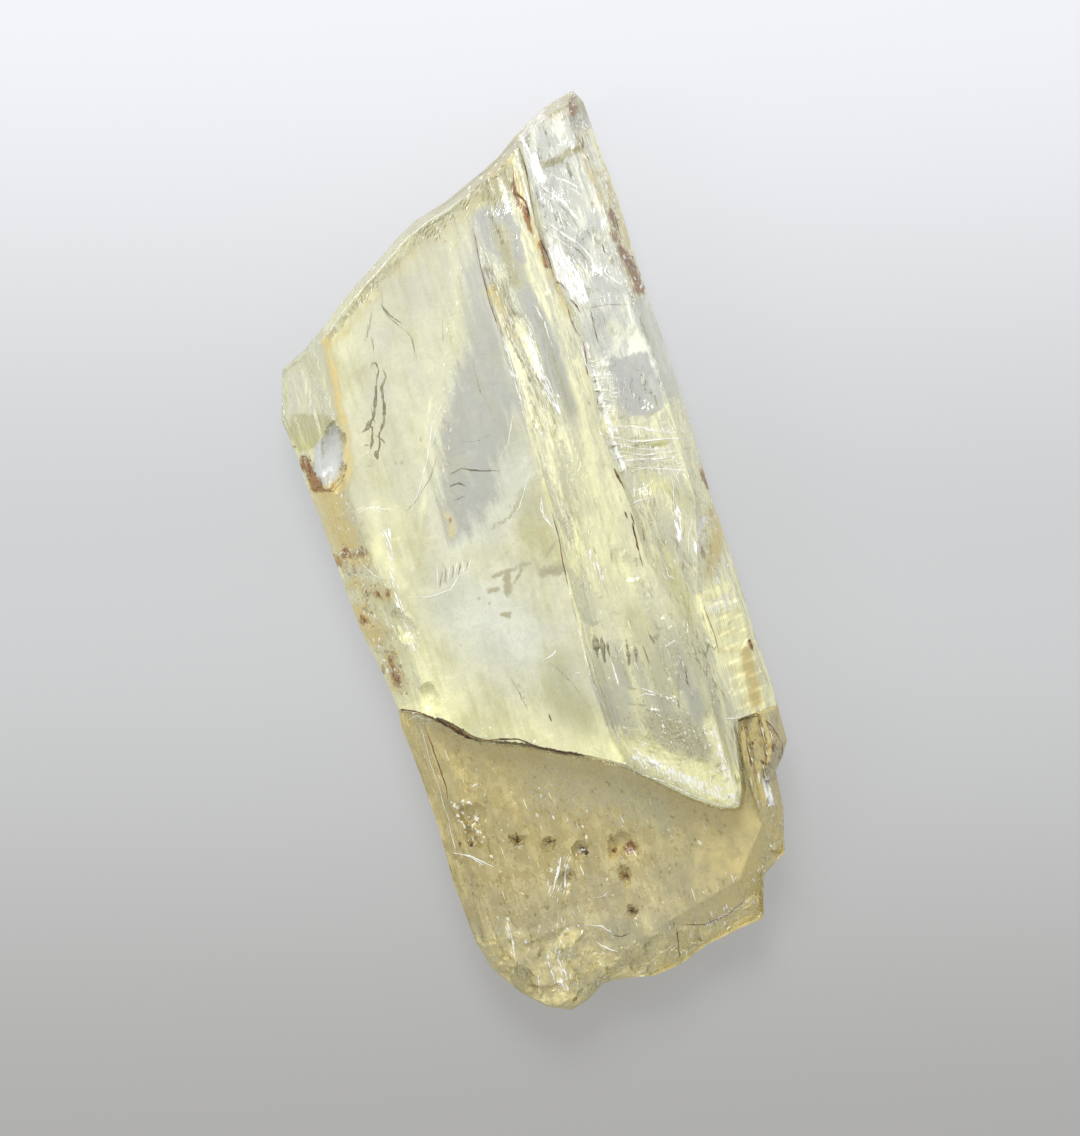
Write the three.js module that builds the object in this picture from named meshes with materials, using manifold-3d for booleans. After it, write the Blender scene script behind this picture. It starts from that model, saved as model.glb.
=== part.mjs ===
// A loose spodumene crystal: a flat, bladed prism that lies on its back face.
// Millimetres. X runs across the blade, Y along its length towards the pointed end, Z up through
// its thickness. The origin is on the resting plane, under the middle of the crystal.
//
// From back to front the blade is a slab with a sharp girdle all round. On the front, a long ridge
// stands on the slab, and below a ragged break the slab has lost its upper layer, which leaves a
// lower shelf. Everything is one grown piece, so it is one solid.
import * as THREE from 'three';
import { mergeVertices } from 'three/addons/utils/BufferGeometryUtils.js';
import Module from 'manifold-3d';

const wasm = await Module();
wasm.setup();

// ---------------------------------------------------------------- driving dimensions
const GIRDLE_Z = 3.4;        // height of the sharp edge that runs round the blade
const PLATE_Z = 7.4;         // height of the broad front face
const RIDGE_Z = 9.3;         // highest line of the long ridge
const SHELF_Z = 5.3;         // shelf height at its middle
const SHELF_FALL = 0.03;     // mm the shelf sinks for each mm towards the broken end
const SHELF_MIDDLE_Y = -20;
const BEYOND = 12;           // a height clear above the crystal, for cutting solids
const BACK_SIDE = 1.3;       // how far the back bevel reaches in along the long sides
const BACK_END = 0.9;        // and at the two ends

// ---------------------------------------------------------------- outline of the blade
// Each row is a point of the girdle, counterclockwise from the tip, and the step across from it
// to the front crest: [x, y, crest dx, crest dy].
const GIRDLE = [
  [13.7, 32.9, -0.6, -1.0],
  [11.4, 32.4, 0.2, -0.9],
  [9.1, 31.3, 0.3, -0.8],
  [6.8, 29.8, 0.3, -0.7],
  [5.5, 29.2, 0.3, -0.7],
  [2.0, 27.8, 0.3, -0.7],
  [-0.4, 27.2, 0.3, -0.8],
  [-2.1, 26.4, 0.4, -0.8],
  [-3.5, 25.5, 0.4, -0.8],
  [-7.2, 23.3, 0.4, -0.7],
  [-9.2, 21.8, 0.4, -0.6],
  [-11.3, 20.5, 1.6, 0.25],
  [-13.4, 19.5, 3.6, 0.8],
  [-14.1, 17.4, 4.1, 0.2],
  [-14.6, 15.9, 4.3, 0],
  [-14.3, 12.7, 3.7, 0],
  [-14.3, 10.8, 3.1, 0],
  [-14.1, 7.7, 2.6, 0],
  [-13.9, 3.4, 2.6, 0],
  [-13.7, -0.9, 3.1, 0],
  [-13.1, -4.6, 2.5, 0],
  [-12.8, -7.3, 2.2, 0],
  [-13.0, -8.7, 2.6, 0],
  [-12.7, -12.8, 2.7, 0],
  [-12.6, -17.0, 3.4, 0],
  [-12.8, -21.0, 4.2, 0],
  [-12.6, -25.7, 3.6, 0.6],
  [-12.0, -28.1, 3.4, 1.3],
  [-10.5, -30.5, 2.9, 2.2],
  [-8.9, -32.1, 1.9, 2.6],
  [-7.2, -32.9, 0.4, 2.8],
  [-5.7, -32.5, -0.3, 2.4],
  [-4.4, -31.7, 0, 2.0],
  [-2.9, -31.8, 0, 2.0],
  [-0.5, -32.3, 0, 2.4],
  [1.6, -32.1, 0, 2.3],
  [3.9, -31.3, 0, 1.9],
  [7.1, -30.8, -0.2, 1.9],
  [8.6, -30.7, -0.8, 2.2],
  [9.0, -29.3, -1.2, 1.6],
  [9.6, -27.6, -1.2, 1.4],
  [11.6, -26.4, -1.8, 1.3],
  [12.5, -23.2, -1.4, 0.4],
  [12.8, -20.4, -1.2, 0],
  [13.5, -19.7, -1.2, 0],
  [14.3, -18.5, -1.5, 0],
  [14.5, -14.1, -2.7, 0],
  [14.4, -10.6, -3.2, 0],
  [14.5, -5.3, -3.1, 0],
  [14.4, 0.4, -1.2, 0],
  [14.6, 8.4, -1.1, 0],
  [14.5, 13.8, -1.0, 0],
  [14.4, 19.2, -1.2, 0],
  [14.5, 24.1, -1.2, 0],
  [14.3, 28.9, -1.2, 0],
  [14.2, 31.9, -1.0, -0.6],
];

// ---------------------------------------------------------------- the long ridge
// Sections across the ridge from the tip down: [y, foot x, head x, edge x, head z, edge z].
// The left face leans from foot to head, the top runs from head to edge, the right face is steep.
const RIDGE = [
  [28.6, 5.2, 6.6, 8.3, 7.6, 7.6],
  [25.6, 3.5, 5.4, 8.1, 8.4, 8.6],
  [22.1, 3.1, 5.1, 7.9, 8.9, 8.8],
  [19.2, 3.0, 5.0, 7.9, 9.0, 8.7],
  [16.5, 3.0, 5.6, 8.6, 9.1, 8.8],
  [13.2, 2.9, 5.2, 8.5, 9.2, 8.6],
  [10.8, 2.8, 5.8, 8.3, 9.1, 8.7],
  [7.9, 2.7, 5.8, 8.0, 9.2, 8.7],
  [4.8, 2.6, 4.8, 8.2, 9.2, 8.9],
  [1.7, 2.6, 4.4, 8.4, 9.3, 9.0],
  [-2.2, 2.3, 3.6, 8.3, RIDGE_Z, 8.9],
  [-6.3, 2.0, 3.0, 9.6, 9.2, 8.6],
  [-9.6, 1.7, 2.7, 9.9, 9.2, 8.4],
  [-14.5, 1.8, 2.9, 9.9, 9.0, 8.3],
  [-18.3, 3.6, 4.5, 9.5, 8.9, 8.2],
  [-22.6, 8.0, 8.4, 9.1, 8.6, 8.3],
];
const RIDGE_ROOT_Z = 5.6;      // how deep the ridge reaches into the slab
const RIDGE_RIGHT_LEAN = 0.35; // run of the steep right face, from edge to foot

// ---------------------------------------------------------------- the ragged break
// Edge of the missing upper layer, from the left side to the V at the right: [x, y].
const BREAK = [
  [-16.0, -6.6], [-12.8, -7.3], [-11.4, -8.0], [-10.4, -8.9], [-9.4, -9.5], [-8.0, -11.1],
  [-6.3, -12.1], [-4.9, -12.6], [-3.5, -13.4], [-2.2, -14.1], [-0.3, -15.0], [2.0, -16.4],
  [4.0, -18.3], [6.1, -20.3], [8.0, -21.7], [9.4, -22.1], [9.9, -21.0], [10.5, -18.0],
  [10.9, -15.8],
];
const BREAK_END = [[16, -15.6], [16, -34], [-16, -34]];

// ---------------------------------------------------------------- smaller forms
// Columns that still stand on the shelf at the right: [left x, right x, lower y, height].
const COLUMNS = [
  [9.6, 10.7, -23.6, 5.9],
  [10.7, 11.5, -26.0, 6.4],
  [11.5, 12.5, -24.4, 5.6],
  [12.5, 13.4, -20.8, 6.5],
  [13.4, 14.6, -19.9, 5.8],
];
const COLUMN_TOP_Y = -15;
// Thin lip left along the lower side of the break, halfway down its wall.
const LIP = [
  [1.2, -16.2], [1.6, -17.0], [3.2, -18.9], [5.4, -20.9], [7.5, -22.5], [9.4, -22.9],
  [9.6, -21.6], [7.0, -20.4], [4.0, -17.6], [2.0, -15.8],
];
const LIP_Z = 6.4;
// Rounded hollows and chips: [x, y, z of centre, three half sizes, turn about Z in degrees].
const HOLLOWS = [
  [-12.2, 12.0, 6.6, 1.5, 2.3, 1.7, -25],
  [10.8, 27.0, 8.7, 1.5, 3.0, 1.7, -8],
  [11.4, 20.6, 8.9, 1.6, 3.6, 1.9, 10],
  [10.6, 14.4, 8.6, 1.5, 3.4, 1.6, -6],
  [12.0, 9.6, 8.8, 1.5, 3.2, 1.7, 8],
  [10.4, 4.2, 8.5, 1.7, 3.2, 1.5, -10],
  [4.2, 28.2, 8.2, 1.4, 0.9, 1.5, 25],
  [0.6, 26.6, 8.0, 1.2, 0.9, 1.2, 25],
  [-5.6, 23.6, 8.1, 1.6, 0.9, 1.3, 32],
  [-11.0, -1.6, 7.9, 1.1, 2.0, 1.6, 8],
  [-10.7, -7.4, 7.8, 0.9, 1.3, 1.3, 0],
  [7.2, -2.8, 10.3, 1.7, 2.6, 1.6, 20],
  [6.0, -13.4, 10.0, 1.6, 3.4, 1.3, 12],
  [10.6, -27.4, 5.2, 1.3, 1.6, 1.5, 30],
  [-12.6, -19.2, 5.0, 0.9, 1.4, 1.2, 0],
  [5.4, -31.6, 5.0, 1.9, 1.5, 1.6, 0],
  [-1.2, -32.4, 5.3, 2.3, 2.0, 1.9, 10],
  [-9.6, -31.0, 5.6, 2.4, 1.6, 2.0, -42],
];
// Etch pits on the shelf: [x, y, radius].
const PITS = [
  [-10.0, -17.0, 0.75],
  [-10.5, -18.5, 0.45],
  [-7.3, -19.7, 0.4],
  [-5.0, -20.3, 0.55],
  [-2.8, -21.7, 0.5],
  [-0.6, -22.4, 0.6],
  [0.5, -22.6, 0.75],
  [-0.3, -24.5, 0.5],
  [-0.6, -27.1, 0.45],
  [-4.6, -23.2, 0.6],
];
const PIT_DEPTH = 0.8;
// Flat breaks at the lower end, each a plane through [x, y, z] that falls away towards the given
// bearing (degrees from +X) at the given slope (degrees).
const END_BREAKS = [
  [-4.6, -27.4, 5.0, -118, 12.5],
  [0.5, -29.2, 4.9, -78, 34],
  [6.0, -29.0, 4.9, -70, 38],
  [-9.8, -28.0, 5.0, -140, 33],
  [8.8, -26.4, 4.9, -42, 42],
];
// Growth lines, long thin V grooves along the blade: [[x, y, z] at the top, [x, y, z] below].
const GROWTH_LINES = [
  [[6.4, 24.0, 8.75], [6.6, 9.0, 8.95]],
  [[7.2, 12.0, 8.85], [6.9, -5.0, 8.9]],
  [[4.6, -1.0, 9.2], [4.2, -14.0, 8.87]],
  [[5.9, -5.6, 8.92], [5.7, -18.0, 8.7]],
  [[7.9, -4.0, 8.8], [7.9, -19.8, 8.4]],
  [[-13.1, 18.4, 4.7], [-12.9, 14.6, 5.0]],
  [[-12.2, 19.2, 5.5], [-12.0, 14.8, 5.9]],
  [[-11.2, 19.8, 6.4], [-11.0, 15.0, 6.7]],
  [[-12.9, 7.4, 5.2], [-12.6, -3.0, 4.6]],
  [[-6.9, -20.6, 5.2], [-6.7, -26.4, 5.1]],
  [[6.6, -23.4, 5.2], [6.4, -28.2, 5.0]],
];
const GROWTH_LINE_WIDTH = 0.5;
// Cross ribs of the block on the right bevel, from its crest down to the girdle.
const RIB_COUNT = 7;
const RIB_PITCH = 1.15;
const RIB_TOP = [[11.5, -6.8, 7.3], [14.6, -7.2, 3.5]];
const RIB_WIDTH = 0.6;
// Long shallow steps on the back, left of and right of the resting face: [x from, x to, depth].
const BACK_STEPS = [
  [-16, -9.4, 0.45],
  [9.8, 16, 0.6],
];

// ---------------------------------------------------------------- solids from geometry
// Turns a closed three.js geometry into a solid that can be joined and cut.
function solid(geometry) {
  geometry.deleteAttribute('normal');
  geometry.deleteAttribute('uv');
  const merged = mergeVertices(geometry, 1e-4);
  return new wasm.Manifold(new wasm.Mesh({
    numProp: 3,
    vertProperties: new Float32Array(merged.attributes.position.array),
    triVerts: new Uint32Array(merged.index.array),
  }));
}

// An extrusion of a closed outline whose layers are then moved: place(index, layer) gives the
// final position of outline point number index in that layer.
function movedExtrusion(outline, layers, place) {
  const shape = new THREE.Shape(outline.map(([x, y]) => new THREE.Vector2(x, y)));
  const geometry = new THREE.ExtrudeGeometry(shape, {
    depth: layers - 1,
    steps: layers - 1,
    bevelEnabled: false,
  });
  const name = (x, y) => `${x.toFixed(3)},${y.toFixed(3)}`;
  const number = new Map(outline.map(([x, y], i) => [name(x, y), i]));
  const points = geometry.attributes.position;
  for (let i = 0; i < points.count; i++) {
    const index = number.get(name(points.getX(i), points.getY(i)));
    points.setXYZ(i, ...place(index, Math.round(points.getZ(i))));
  }
  return solid(geometry);
}

// A solid between two heights above an outline; either height may be a number or a function.
function block(outline, bottom, top) {
  const at = (height, x, y) => (typeof height === 'function' ? height(x, y) : height);
  return movedExtrusion(outline, 2, (index, layer) => {
    const [x, y] = outline[index];
    return [x, y, at(layer === 0 ? bottom : top, x, y)];
  });
}

// An ellipsoid, for rounded hollows and chips.
function ball(x, y, z, rx, ry, rz, turn = 0) {
  const geometry = new THREE.SphereGeometry(1, 16, 10);
  geometry.scale(rx, ry, rz);
  geometry.rotateZ(THREE.MathUtils.degToRad(turn));
  geometry.translate(x, y, z);
  return solid(geometry);
}

// ---------------------------------------------------------------- the parts of the form
// The slab: back ring on the resting plane, girdle, front crest.
function slab() {
  return movedExtrusion(GIRDLE, 3, (index, layer) => {
    const [x, y, dx, dy] = GIRDLE[index];
    if (layer === 1) return [x, y, GIRDLE_Z];
    if (layer === 2) return [x + dx, y + dy, PLATE_Z];
    const step = new THREE.Vector2(dx, dy);
    const reach = Math.abs(step.y) > Math.abs(step.x) ? BACK_END : BACK_SIDE;
    step.setLength(reach);
    return [x + step.x, y + step.y, 0];
  });
}

// The ridge: its sections joined from the tip down.
function ridge() {
  const section = ([y, footX, headX, edgeX, headZ, edgeZ]) => [
    [footX, y, RIDGE_ROOT_Z],
    [edgeX + RIDGE_RIGHT_LEAN, y, RIDGE_ROOT_Z],
    [edgeX + RIDGE_RIGHT_LEAN, y, PLATE_Z - 0.1],
    [edgeX, y, edgeZ],
    [headX, y, headZ],
    [footX, y, PLATE_Z - 0.1],
  ];
  const outline = section(RIDGE[0]).map(([x, , z]) => [x, z]);
  return movedExtrusion(outline, RIDGE.length, (index, layer) => section(RIDGE[layer])[index]);
}

// What is missing below the break: all above the shelf, but for the columns and the lip.
function missingLayer() {
  const shelf = (x, y) => SHELF_Z + SHELF_FALL * (y - SHELF_MIDDLE_Y);
  let missing = block([...BREAK, ...BREAK_END].reverse(), shelf, BEYOND);
  for (const [left, right, lowerY, height] of COLUMNS) {
    const foot = [[left, lowerY], [right, lowerY], [right, COLUMN_TOP_Y], [left, COLUMN_TOP_Y]];
    missing = missing.subtract(block(foot, 0, height));
  }
  return missing.subtract(block(LIP, 0, LIP_Z));
}

// A flat break at the lower end: a big box laid on its plane.
function endBreak(x, y, z, bearing, slope) {
  const size = 30;
  const geometry = new THREE.BoxGeometry(size, size, size);
  geometry.translate(size / 2, 0, size / 2);
  geometry.rotateY(THREE.MathUtils.degToRad(slope));
  geometry.rotateZ(THREE.MathUtils.degToRad(bearing));
  geometry.translate(x, y, z);
  return solid(geometry);
}

// A V groove between two points of a face: a square bar that lies half in the face.
function groove(start, end, width) {
  const from = new THREE.Vector3(...start);
  const to = new THREE.Vector3(...end);
  const along = to.clone().sub(from);
  const geometry = new THREE.CylinderGeometry(width / 2, width / 2, along.length(), 4);
  const up = new THREE.Vector3(0, 1, 0);
  geometry.applyQuaternion(new THREE.Quaternion().setFromUnitVectors(up, along.normalize()));
  const middle = from.add(to).multiplyScalar(0.5);
  geometry.translate(middle.x, middle.y, middle.z);
  return solid(geometry);
}

// ---------------------------------------------------------------- the crystal
function crystal() {
  let body = slab().add(ridge()).subtract(missingLayer());
  for (const hollow of HOLLOWS) body = body.subtract(ball(...hollow));
  for (const [x, y, radius] of PITS) {
    const z = SHELF_Z + SHELF_FALL * (y - SHELF_MIDDLE_Y);
    body = body.subtract(ball(x, y, z + 0.1, radius, radius * 1.4, PIT_DEPTH));
  }
  for (const plane of END_BREAKS) body = body.subtract(endBreak(...plane));
  for (const [top, below] of GROWTH_LINES) {
    body = body.subtract(groove(top, below, GROWTH_LINE_WIDTH));
  }
  for (let rib = 0; rib < RIB_COUNT; rib++) {
    const [top, below] = RIB_TOP.map(([x, y, z]) => [x, y - rib * RIB_PITCH, z]);
    body = body.subtract(groove(top, below, RIB_WIDTH));
  }
  for (const [from, to, depth] of BACK_STEPS) {
    const strip = [[from, -40], [to, -40], [to, 40], [from, 40]];
    body = body.subtract(block(strip, -1, depth));
  }
  return body;
}

function bufferGeometry(body) {
  const mesh = body.getMesh();
  const geometry = new THREE.BufferGeometry();
  geometry.setAttribute('position', new THREE.BufferAttribute(mesh.vertProperties, 3));
  geometry.setIndex(new THREE.BufferAttribute(mesh.triVerts, 1));
  return geometry;
}

const paleCrystal = new THREE.MeshStandardMaterial({
  color: 0xe4e2bd,
  roughness: 0.12,
  metalness: 0,
  transparent: true,
  opacity: 0.6,
});

const spodumene = new THREE.Mesh(bufferGeometry(crystal()), paleCrystal);
spodumene.name = 'spodumene_crystal';

const model = new THREE.Group();
model.add(spodumene);

export default model;
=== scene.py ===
# %% [markdown]
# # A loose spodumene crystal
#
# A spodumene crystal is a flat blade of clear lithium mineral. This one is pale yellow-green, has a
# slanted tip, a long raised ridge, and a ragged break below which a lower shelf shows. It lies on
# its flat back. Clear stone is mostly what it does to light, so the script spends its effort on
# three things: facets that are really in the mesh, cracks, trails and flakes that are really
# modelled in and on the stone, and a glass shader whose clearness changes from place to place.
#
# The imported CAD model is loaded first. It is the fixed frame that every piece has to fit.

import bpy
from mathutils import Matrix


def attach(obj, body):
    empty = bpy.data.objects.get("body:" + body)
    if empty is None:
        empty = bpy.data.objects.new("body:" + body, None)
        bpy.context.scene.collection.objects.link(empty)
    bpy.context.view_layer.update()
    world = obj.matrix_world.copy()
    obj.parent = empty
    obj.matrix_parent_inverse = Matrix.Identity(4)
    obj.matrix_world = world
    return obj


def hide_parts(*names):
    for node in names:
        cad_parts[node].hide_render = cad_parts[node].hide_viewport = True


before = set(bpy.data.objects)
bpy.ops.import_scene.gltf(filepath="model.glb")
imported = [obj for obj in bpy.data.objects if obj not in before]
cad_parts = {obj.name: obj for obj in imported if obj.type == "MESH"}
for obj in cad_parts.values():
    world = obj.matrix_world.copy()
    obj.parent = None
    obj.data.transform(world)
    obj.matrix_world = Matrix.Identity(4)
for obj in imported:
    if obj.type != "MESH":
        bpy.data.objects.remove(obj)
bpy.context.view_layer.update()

# %% [markdown]
# ## Units and tools
#
# Lengths below are millimetres in the crystal's own frame: x across the blade, y along it towards
# the tip, z up out of the front face. They are turned into metres only when a mesh is written.
# numpy works out whole surfaces at once, which is both shorter and much faster than a loop over
# vertices.

# %% Imports and units
import math
from types import SimpleNamespace
import bpy
import numpy as np

MM = 0.001
NODE = "spodumene_crystal"
print("one unit is", MM, "m; the solid's node is", NODE)

# %% [markdown]
# ## Camera
#
# The crystal lies on its back, so the camera looks straight down on the front face. The blade leans
# in the picture: its long axis points up and to the left, by the angle LEAN. A fairly long lens
# keeps the outline nearly free of perspective.

# %% Camera
LEAN = math.radians(17.6)          # how far the blade leans to the left of upright
FACE_Z = 6.0                       # mm, the height at which the picture is measured
PICTURE_HEIGHT = 84.2              # mm at that height, from bottom to top of the picture
LOOK_AT = (0.53, -0.54)            # mm, the point in the middle of the picture
LENS = 85.0                        # mm of focal length, with a sensor SENSOR mm high
SENSOR = 36.0
SEEN_FROM, SEEN_TO = 0.01, 10      # m, the nearest and farthest things that the camera shows

camera = bpy.data.objects.new("camera", bpy.data.cameras.new("camera"))
bpy.context.scene.collection.objects.link(camera)
camera.data.lens = LENS
camera.data.sensor_fit = "VERTICAL"
camera.data.sensor_height = SENSOR
camera_height = FACE_Z + PICTURE_HEIGHT * LENS / SENSOR
camera.location = (LOOK_AT[0] * MM, LOOK_AT[1] * MM, camera_height * MM)
camera.rotation_euler = (0, 0, -LEAN)
camera.data.clip_start = SEEN_FROM
camera.data.clip_end = SEEN_TO
bpy.context.scene.camera = camera
print("camera height mm", round(camera_height))

# %% [markdown]
# ## Floor and light
#
# Clear stone shows its surroundings, so the surroundings are kept very plain: a pale floor, a
# bright sky, and two large soft lamps. A stone that lies on paper shades the paper under itself,
# and looks dull. Mineral collectors put clear stones on a light table instead. The floor here does
# the same: it is pale paper with a soft light of its own, so the clear parts of the stone stay
# bright. That glow is graded, dim on the viewer's side and bright beyond the stone, a painted fall
# of light. The lamp beyond the tip brightens the far floor too, and gives the facets their glints.
#
# `add` makes one shader node and fills its inputs, with a number, a colour or a link. The other
# helpers make what most materials here start from: a Principled shader, a ramp of colours, a step
# of arithmetic and a bump.

# %% Shader helpers
def is_socket(value):
    """Whether a value is another node's output."""
    return isinstance(value, bpy.types.NodeSocket)


def add(tree, kind, inputs=None, **settings):
    """A new node: settings are its properties, inputs maps socket names to values or sockets."""
    node = tree.nodes.new(kind)
    for key, value in settings.items():
        setattr(node, key, value)
    for key, value in (inputs or {}).items():
        if is_socket(value):
            tree.links.new(value, node.inputs[key])
        else:
            node.inputs[key].default_value = value
    return node


def principled(name, color, roughness):
    """A new material with one Principled shader; returns both."""
    material = bpy.data.materials.new(name)
    material.use_nodes = True
    shader = material.node_tree.nodes["Principled BSDF"]
    shader.inputs["Base Color"].default_value = (*color, 1)
    shader.inputs["Roughness"].default_value = roughness
    return material, shader


def color_ramp(tree, value, stops, interpolation="LINEAR"):
    """A colour that follows a value: each stop is a value from 0 to 1 and its colour."""
    node = add(tree, "ShaderNodeValToRGB", {"Fac": value})
    node.color_ramp.interpolation = interpolation
    made = node.color_ramp.elements
    for place, _ in stops[1:-1]:
        made.new(place)
    for stop, (place, color) in zip(made, stops):
        stop.position = place
        stop.color = (*color, 1)
    return node.outputs["Color"]


def calc(operation, *values, clamp=False):
    """One arithmetic step on numbers and on sockets of one tree; returns its result."""
    tree = next(value.id_data for value in values if is_socket(value))
    node = add(tree, "ShaderNodeMath", dict(enumerate(values)), operation=operation, use_clamp=clamp)
    return node.outputs[0]


def bump(tree, height, strength, depth, *shaders):
    """Lets a height of at most depth mm bend the surface of the given shaders."""
    node = add(tree, "ShaderNodeBump", {"Strength": strength, "Distance": depth * MM, "Height": height})
    for shader in shaders:
        tree.links.new(node.outputs["Normal"], shader.inputs["Normal"])


print("helpers: add, principled, color_ramp, calc, bump")

# %% Floor
FLOOR_HALF = 600 * MM
FLOOR_DROP = 0.02 * MM             # a hair below the resting plane, so the two never share a face
FLOOR_COLOR = (0.16, 0.162, 0.168)
FLOOR_ROUGHNESS = 0.9
FLOOR_GLOW = 0.70
GLOW_REACH = 45 * MM               # the glow changes over this distance to each side of the middle
# The glow is a painted fall of light: dim on the viewer's side, bright beyond the stone.
GLOW_COLORS = [                    # from the viewer's side, over the middle, to beyond the stone
    (0.0, (0.37, 0.36, 0.335)), (0.5, (0.62, 0.625, 0.62)), (1.0, (0.96, 0.965, 1.0))]
floor_mesh = bpy.data.meshes.new("floor")
floor_mesh.from_pydata(
    [(x * FLOOR_HALF, y * FLOOR_HALF, -FLOOR_DROP) for x, y in ((-1, -1), (1, -1), (1, 1), (-1, 1))],
    [], [(0, 1, 2, 3)])
floor = bpy.data.objects.new("floor", floor_mesh)
bpy.context.scene.collection.objects.link(floor)
paper, paper_shader = principled("pale_paper", FLOOR_COLOR, FLOOR_ROUGHNESS)
tree = paper.node_tree
floor_place = add(tree, "ShaderNodeTexCoord").outputs["Object"]
beyond = (math.sin(LEAN) / GLOW_REACH / 2, math.cos(LEAN) / GLOW_REACH / 2, 0)
away = add(tree, "ShaderNodeVectorMath", {0: floor_place, 1: beyond}, operation="DOT_PRODUCT")
glow_color = color_ramp(tree, calc("ADD", away.outputs["Value"], 0.5), GLOW_COLORS, "EASE")
tree.links.new(glow_color, paper_shader.inputs["Emission Color"])
paper_shader.inputs["Emission Strength"].default_value = FLOOR_GLOW
floor.data.materials.append(paper)
print("floor is", round(2 * FLOOR_HALF, 2), "m wide")

# %% World
SKY_STRENGTH = 0.62
SKY_COLORS = [(0.0, (0.50, 0.51, 0.54)), (0.6, (0.95, 0.96, 1.0))]
world = bpy.data.worlds.new("studio")
bpy.context.scene.world = world
world.use_nodes = True
sky = world.node_tree
sky_place = add(sky, "ShaderNodeTexCoord").outputs["Generated"]
sky_height = add(sky, "ShaderNodeSeparateXYZ", {"Vector": sky_place}).outputs["Z"]
sky.links.new(color_ramp(sky, sky_height, SKY_COLORS), sky.nodes["Background"].inputs["Color"])
sky.nodes["Background"].inputs["Strength"].default_value = SKY_STRENGTH
print("sky has", len(sky.nodes), "nodes")


# %% Lamps
def softbox(name, place, size, power):
    """A square lamp at place (metres), aimed at the origin."""
    data = bpy.data.lights.new(name, "AREA")
    data.shape = "SQUARE"
    data.size = size
    data.energy = power
    lamp = bpy.data.objects.new(name, data)
    bpy.context.scene.collection.objects.link(lamp)
    lamp.location = place
    x, y, z = place
    lamp.rotation_euler = (math.atan2(math.hypot(x, y), z), 0, math.atan2(y, x) + math.pi / 2)


# Name, place in m, width in m, power in W.
LAMPS = [("window_lamp", (0.03, 0.20, 0.19), 0.13, 0.60),
         ("side_lamp", (-0.30, 0.06, 0.22), 0.12, 0.22)]
for lamp_settings in LAMPS:
    softbox(*lamp_settings)
bpy.context.scene.view_settings.view_transform = "Standard"
print("lamps:", [name for name, *_ in LAMPS])

# %% [markdown]
# ## Random but repeatable
#
# Natural surfaces need irregular numbers that are the same on every run. `hashed` turns a pair of
# whole numbers into a number from 0 to 1, `noise` blends those smoothly, `layered` stacks several
# sizes of it, and `splinters` gives flat tilted chips like those on a broken crystal.

# %% Noise for numpy arrays
def hashed(ix, iy, seed):
    """A fixed number from 0 to 1 for each pair of whole numbers: the fraction of a large sine."""
    return np.modf(np.abs(np.sin(ix * 127.1 + iy * 311.7 + seed * 74.7)) * 43758.5453)[0]


def noise(x, y, seed=0):
    """Smooth noise from 0 to 1: the hashed corners of each unit square, blended by 3t^2 - 2t^3."""
    ix, iy = np.floor(x), np.floor(y)
    tx, ty = x - ix, y - iy
    tx, ty = tx * tx * (3 - 2 * tx), ty * ty * (3 - 2 * ty)
    low = hashed(ix, iy, seed) * (1 - tx) + hashed(ix + 1, iy, seed) * tx
    high = hashed(ix, iy + 1, seed) * (1 - tx) + hashed(ix + 1, iy + 1, seed) * tx
    return low * (1 - ty) + high * ty


def layered(x, y, seed=0, octaves=4):
    """Noise of halving size and halving strength added up, from 0 to 1."""
    total = sum(noise(x * 2**k, y * 2**k, seed + 11 * k) / 2**k for k in range(octaves))
    return total / sum(1 / 2**k for k in range(octaves))


def swing(share):
    """From -1 to 1, for a number from 0 to 1."""
    return (share - 0.5) * 2


def splinters(x, y, seed=0):
    """Flat chips: the tilted plane of the nearest scattered seed, about -1 to 1, and its shade."""
    best = np.full(np.shape(x), np.inf)
    height, shade = np.zeros(np.shape(x)), np.zeros(np.shape(x))
    x, y = x + 0.9 * layered(x * 0.8, y * 0.8, seed + 7, 3), y + 0.9 * layered(x, y, seed + 8, 3)
    for dx in (-1, 0, 1):
        for dy in (-1, 0, 1):
            ix, iy = np.floor(x) + dx, np.floor(y) + dy
            px, py, level, lean_x, lean_y, tone = (hashed(ix, iy, seed + k) for k in range(6))
            off_x, off_y = x - (ix + px), y - (iy + py)
            gap = off_x**2 + off_y**2
            plane = level - 0.5 + off_x * swing(lean_x) + off_y * swing(lean_y)
            height = np.where(gap < best, plane, height)
            shade = np.where(gap < best, tone, shade)
            best = np.minimum(best, gap)
    return height, shade


def smooth(value, low, high):
    """0 below low, 1 above high, and an S-curve between."""
    t = np.clip((value - low) / (high - low), 0, 1)
    return t * t * (3 - 2 * t)


def past(value, line, low, high):
    """0 before a line, 1 past it: an S-curve from low to high, both measured from the line."""
    return smooth(value, line + low, line + high)


print("noise at three places", noise(np.arange(3) + 0.5, 0.5).round(2))


# %% Distances to paths and outlines
def path_distance(x, y, points):
    """Distance to a path: the least distance to any of its straight pieces."""
    if len(points) == 1:
        return np.hypot(x - points[0][0], y - points[0][1])
    best = np.full(x.shape, np.inf)
    for (x0, y0), (x1, y1) in zip(points[:-1], points[1:]):
        dx, dy = x1 - x0, y1 - y0
        t = np.clip(((x - x0) * dx + (y - y0) * dy) / (dx * dx + dy * dy), 0, 1)
        best = np.minimum(best, np.hypot(x - x0 - t * dx, y - y0 - t * dy))
    return best


def outline_depth(x, y, points):
    """Distance to a closed outline, positive inside: the sign flips at every edge crossed."""
    inside = np.zeros(x.shape, bool)
    for (x0, y0), (x1, y1) in zip(points, points[1:] + points[:1]):
        crosses = (y0 > y) != (y1 > y)
        inside ^= crosses & (x < x0 + (y - y0) * (x1 - x0) / (y1 - y0 + 1e-9))
    return np.where(inside, 1, -1) * path_distance(x, y, points + points[:1])


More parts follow.
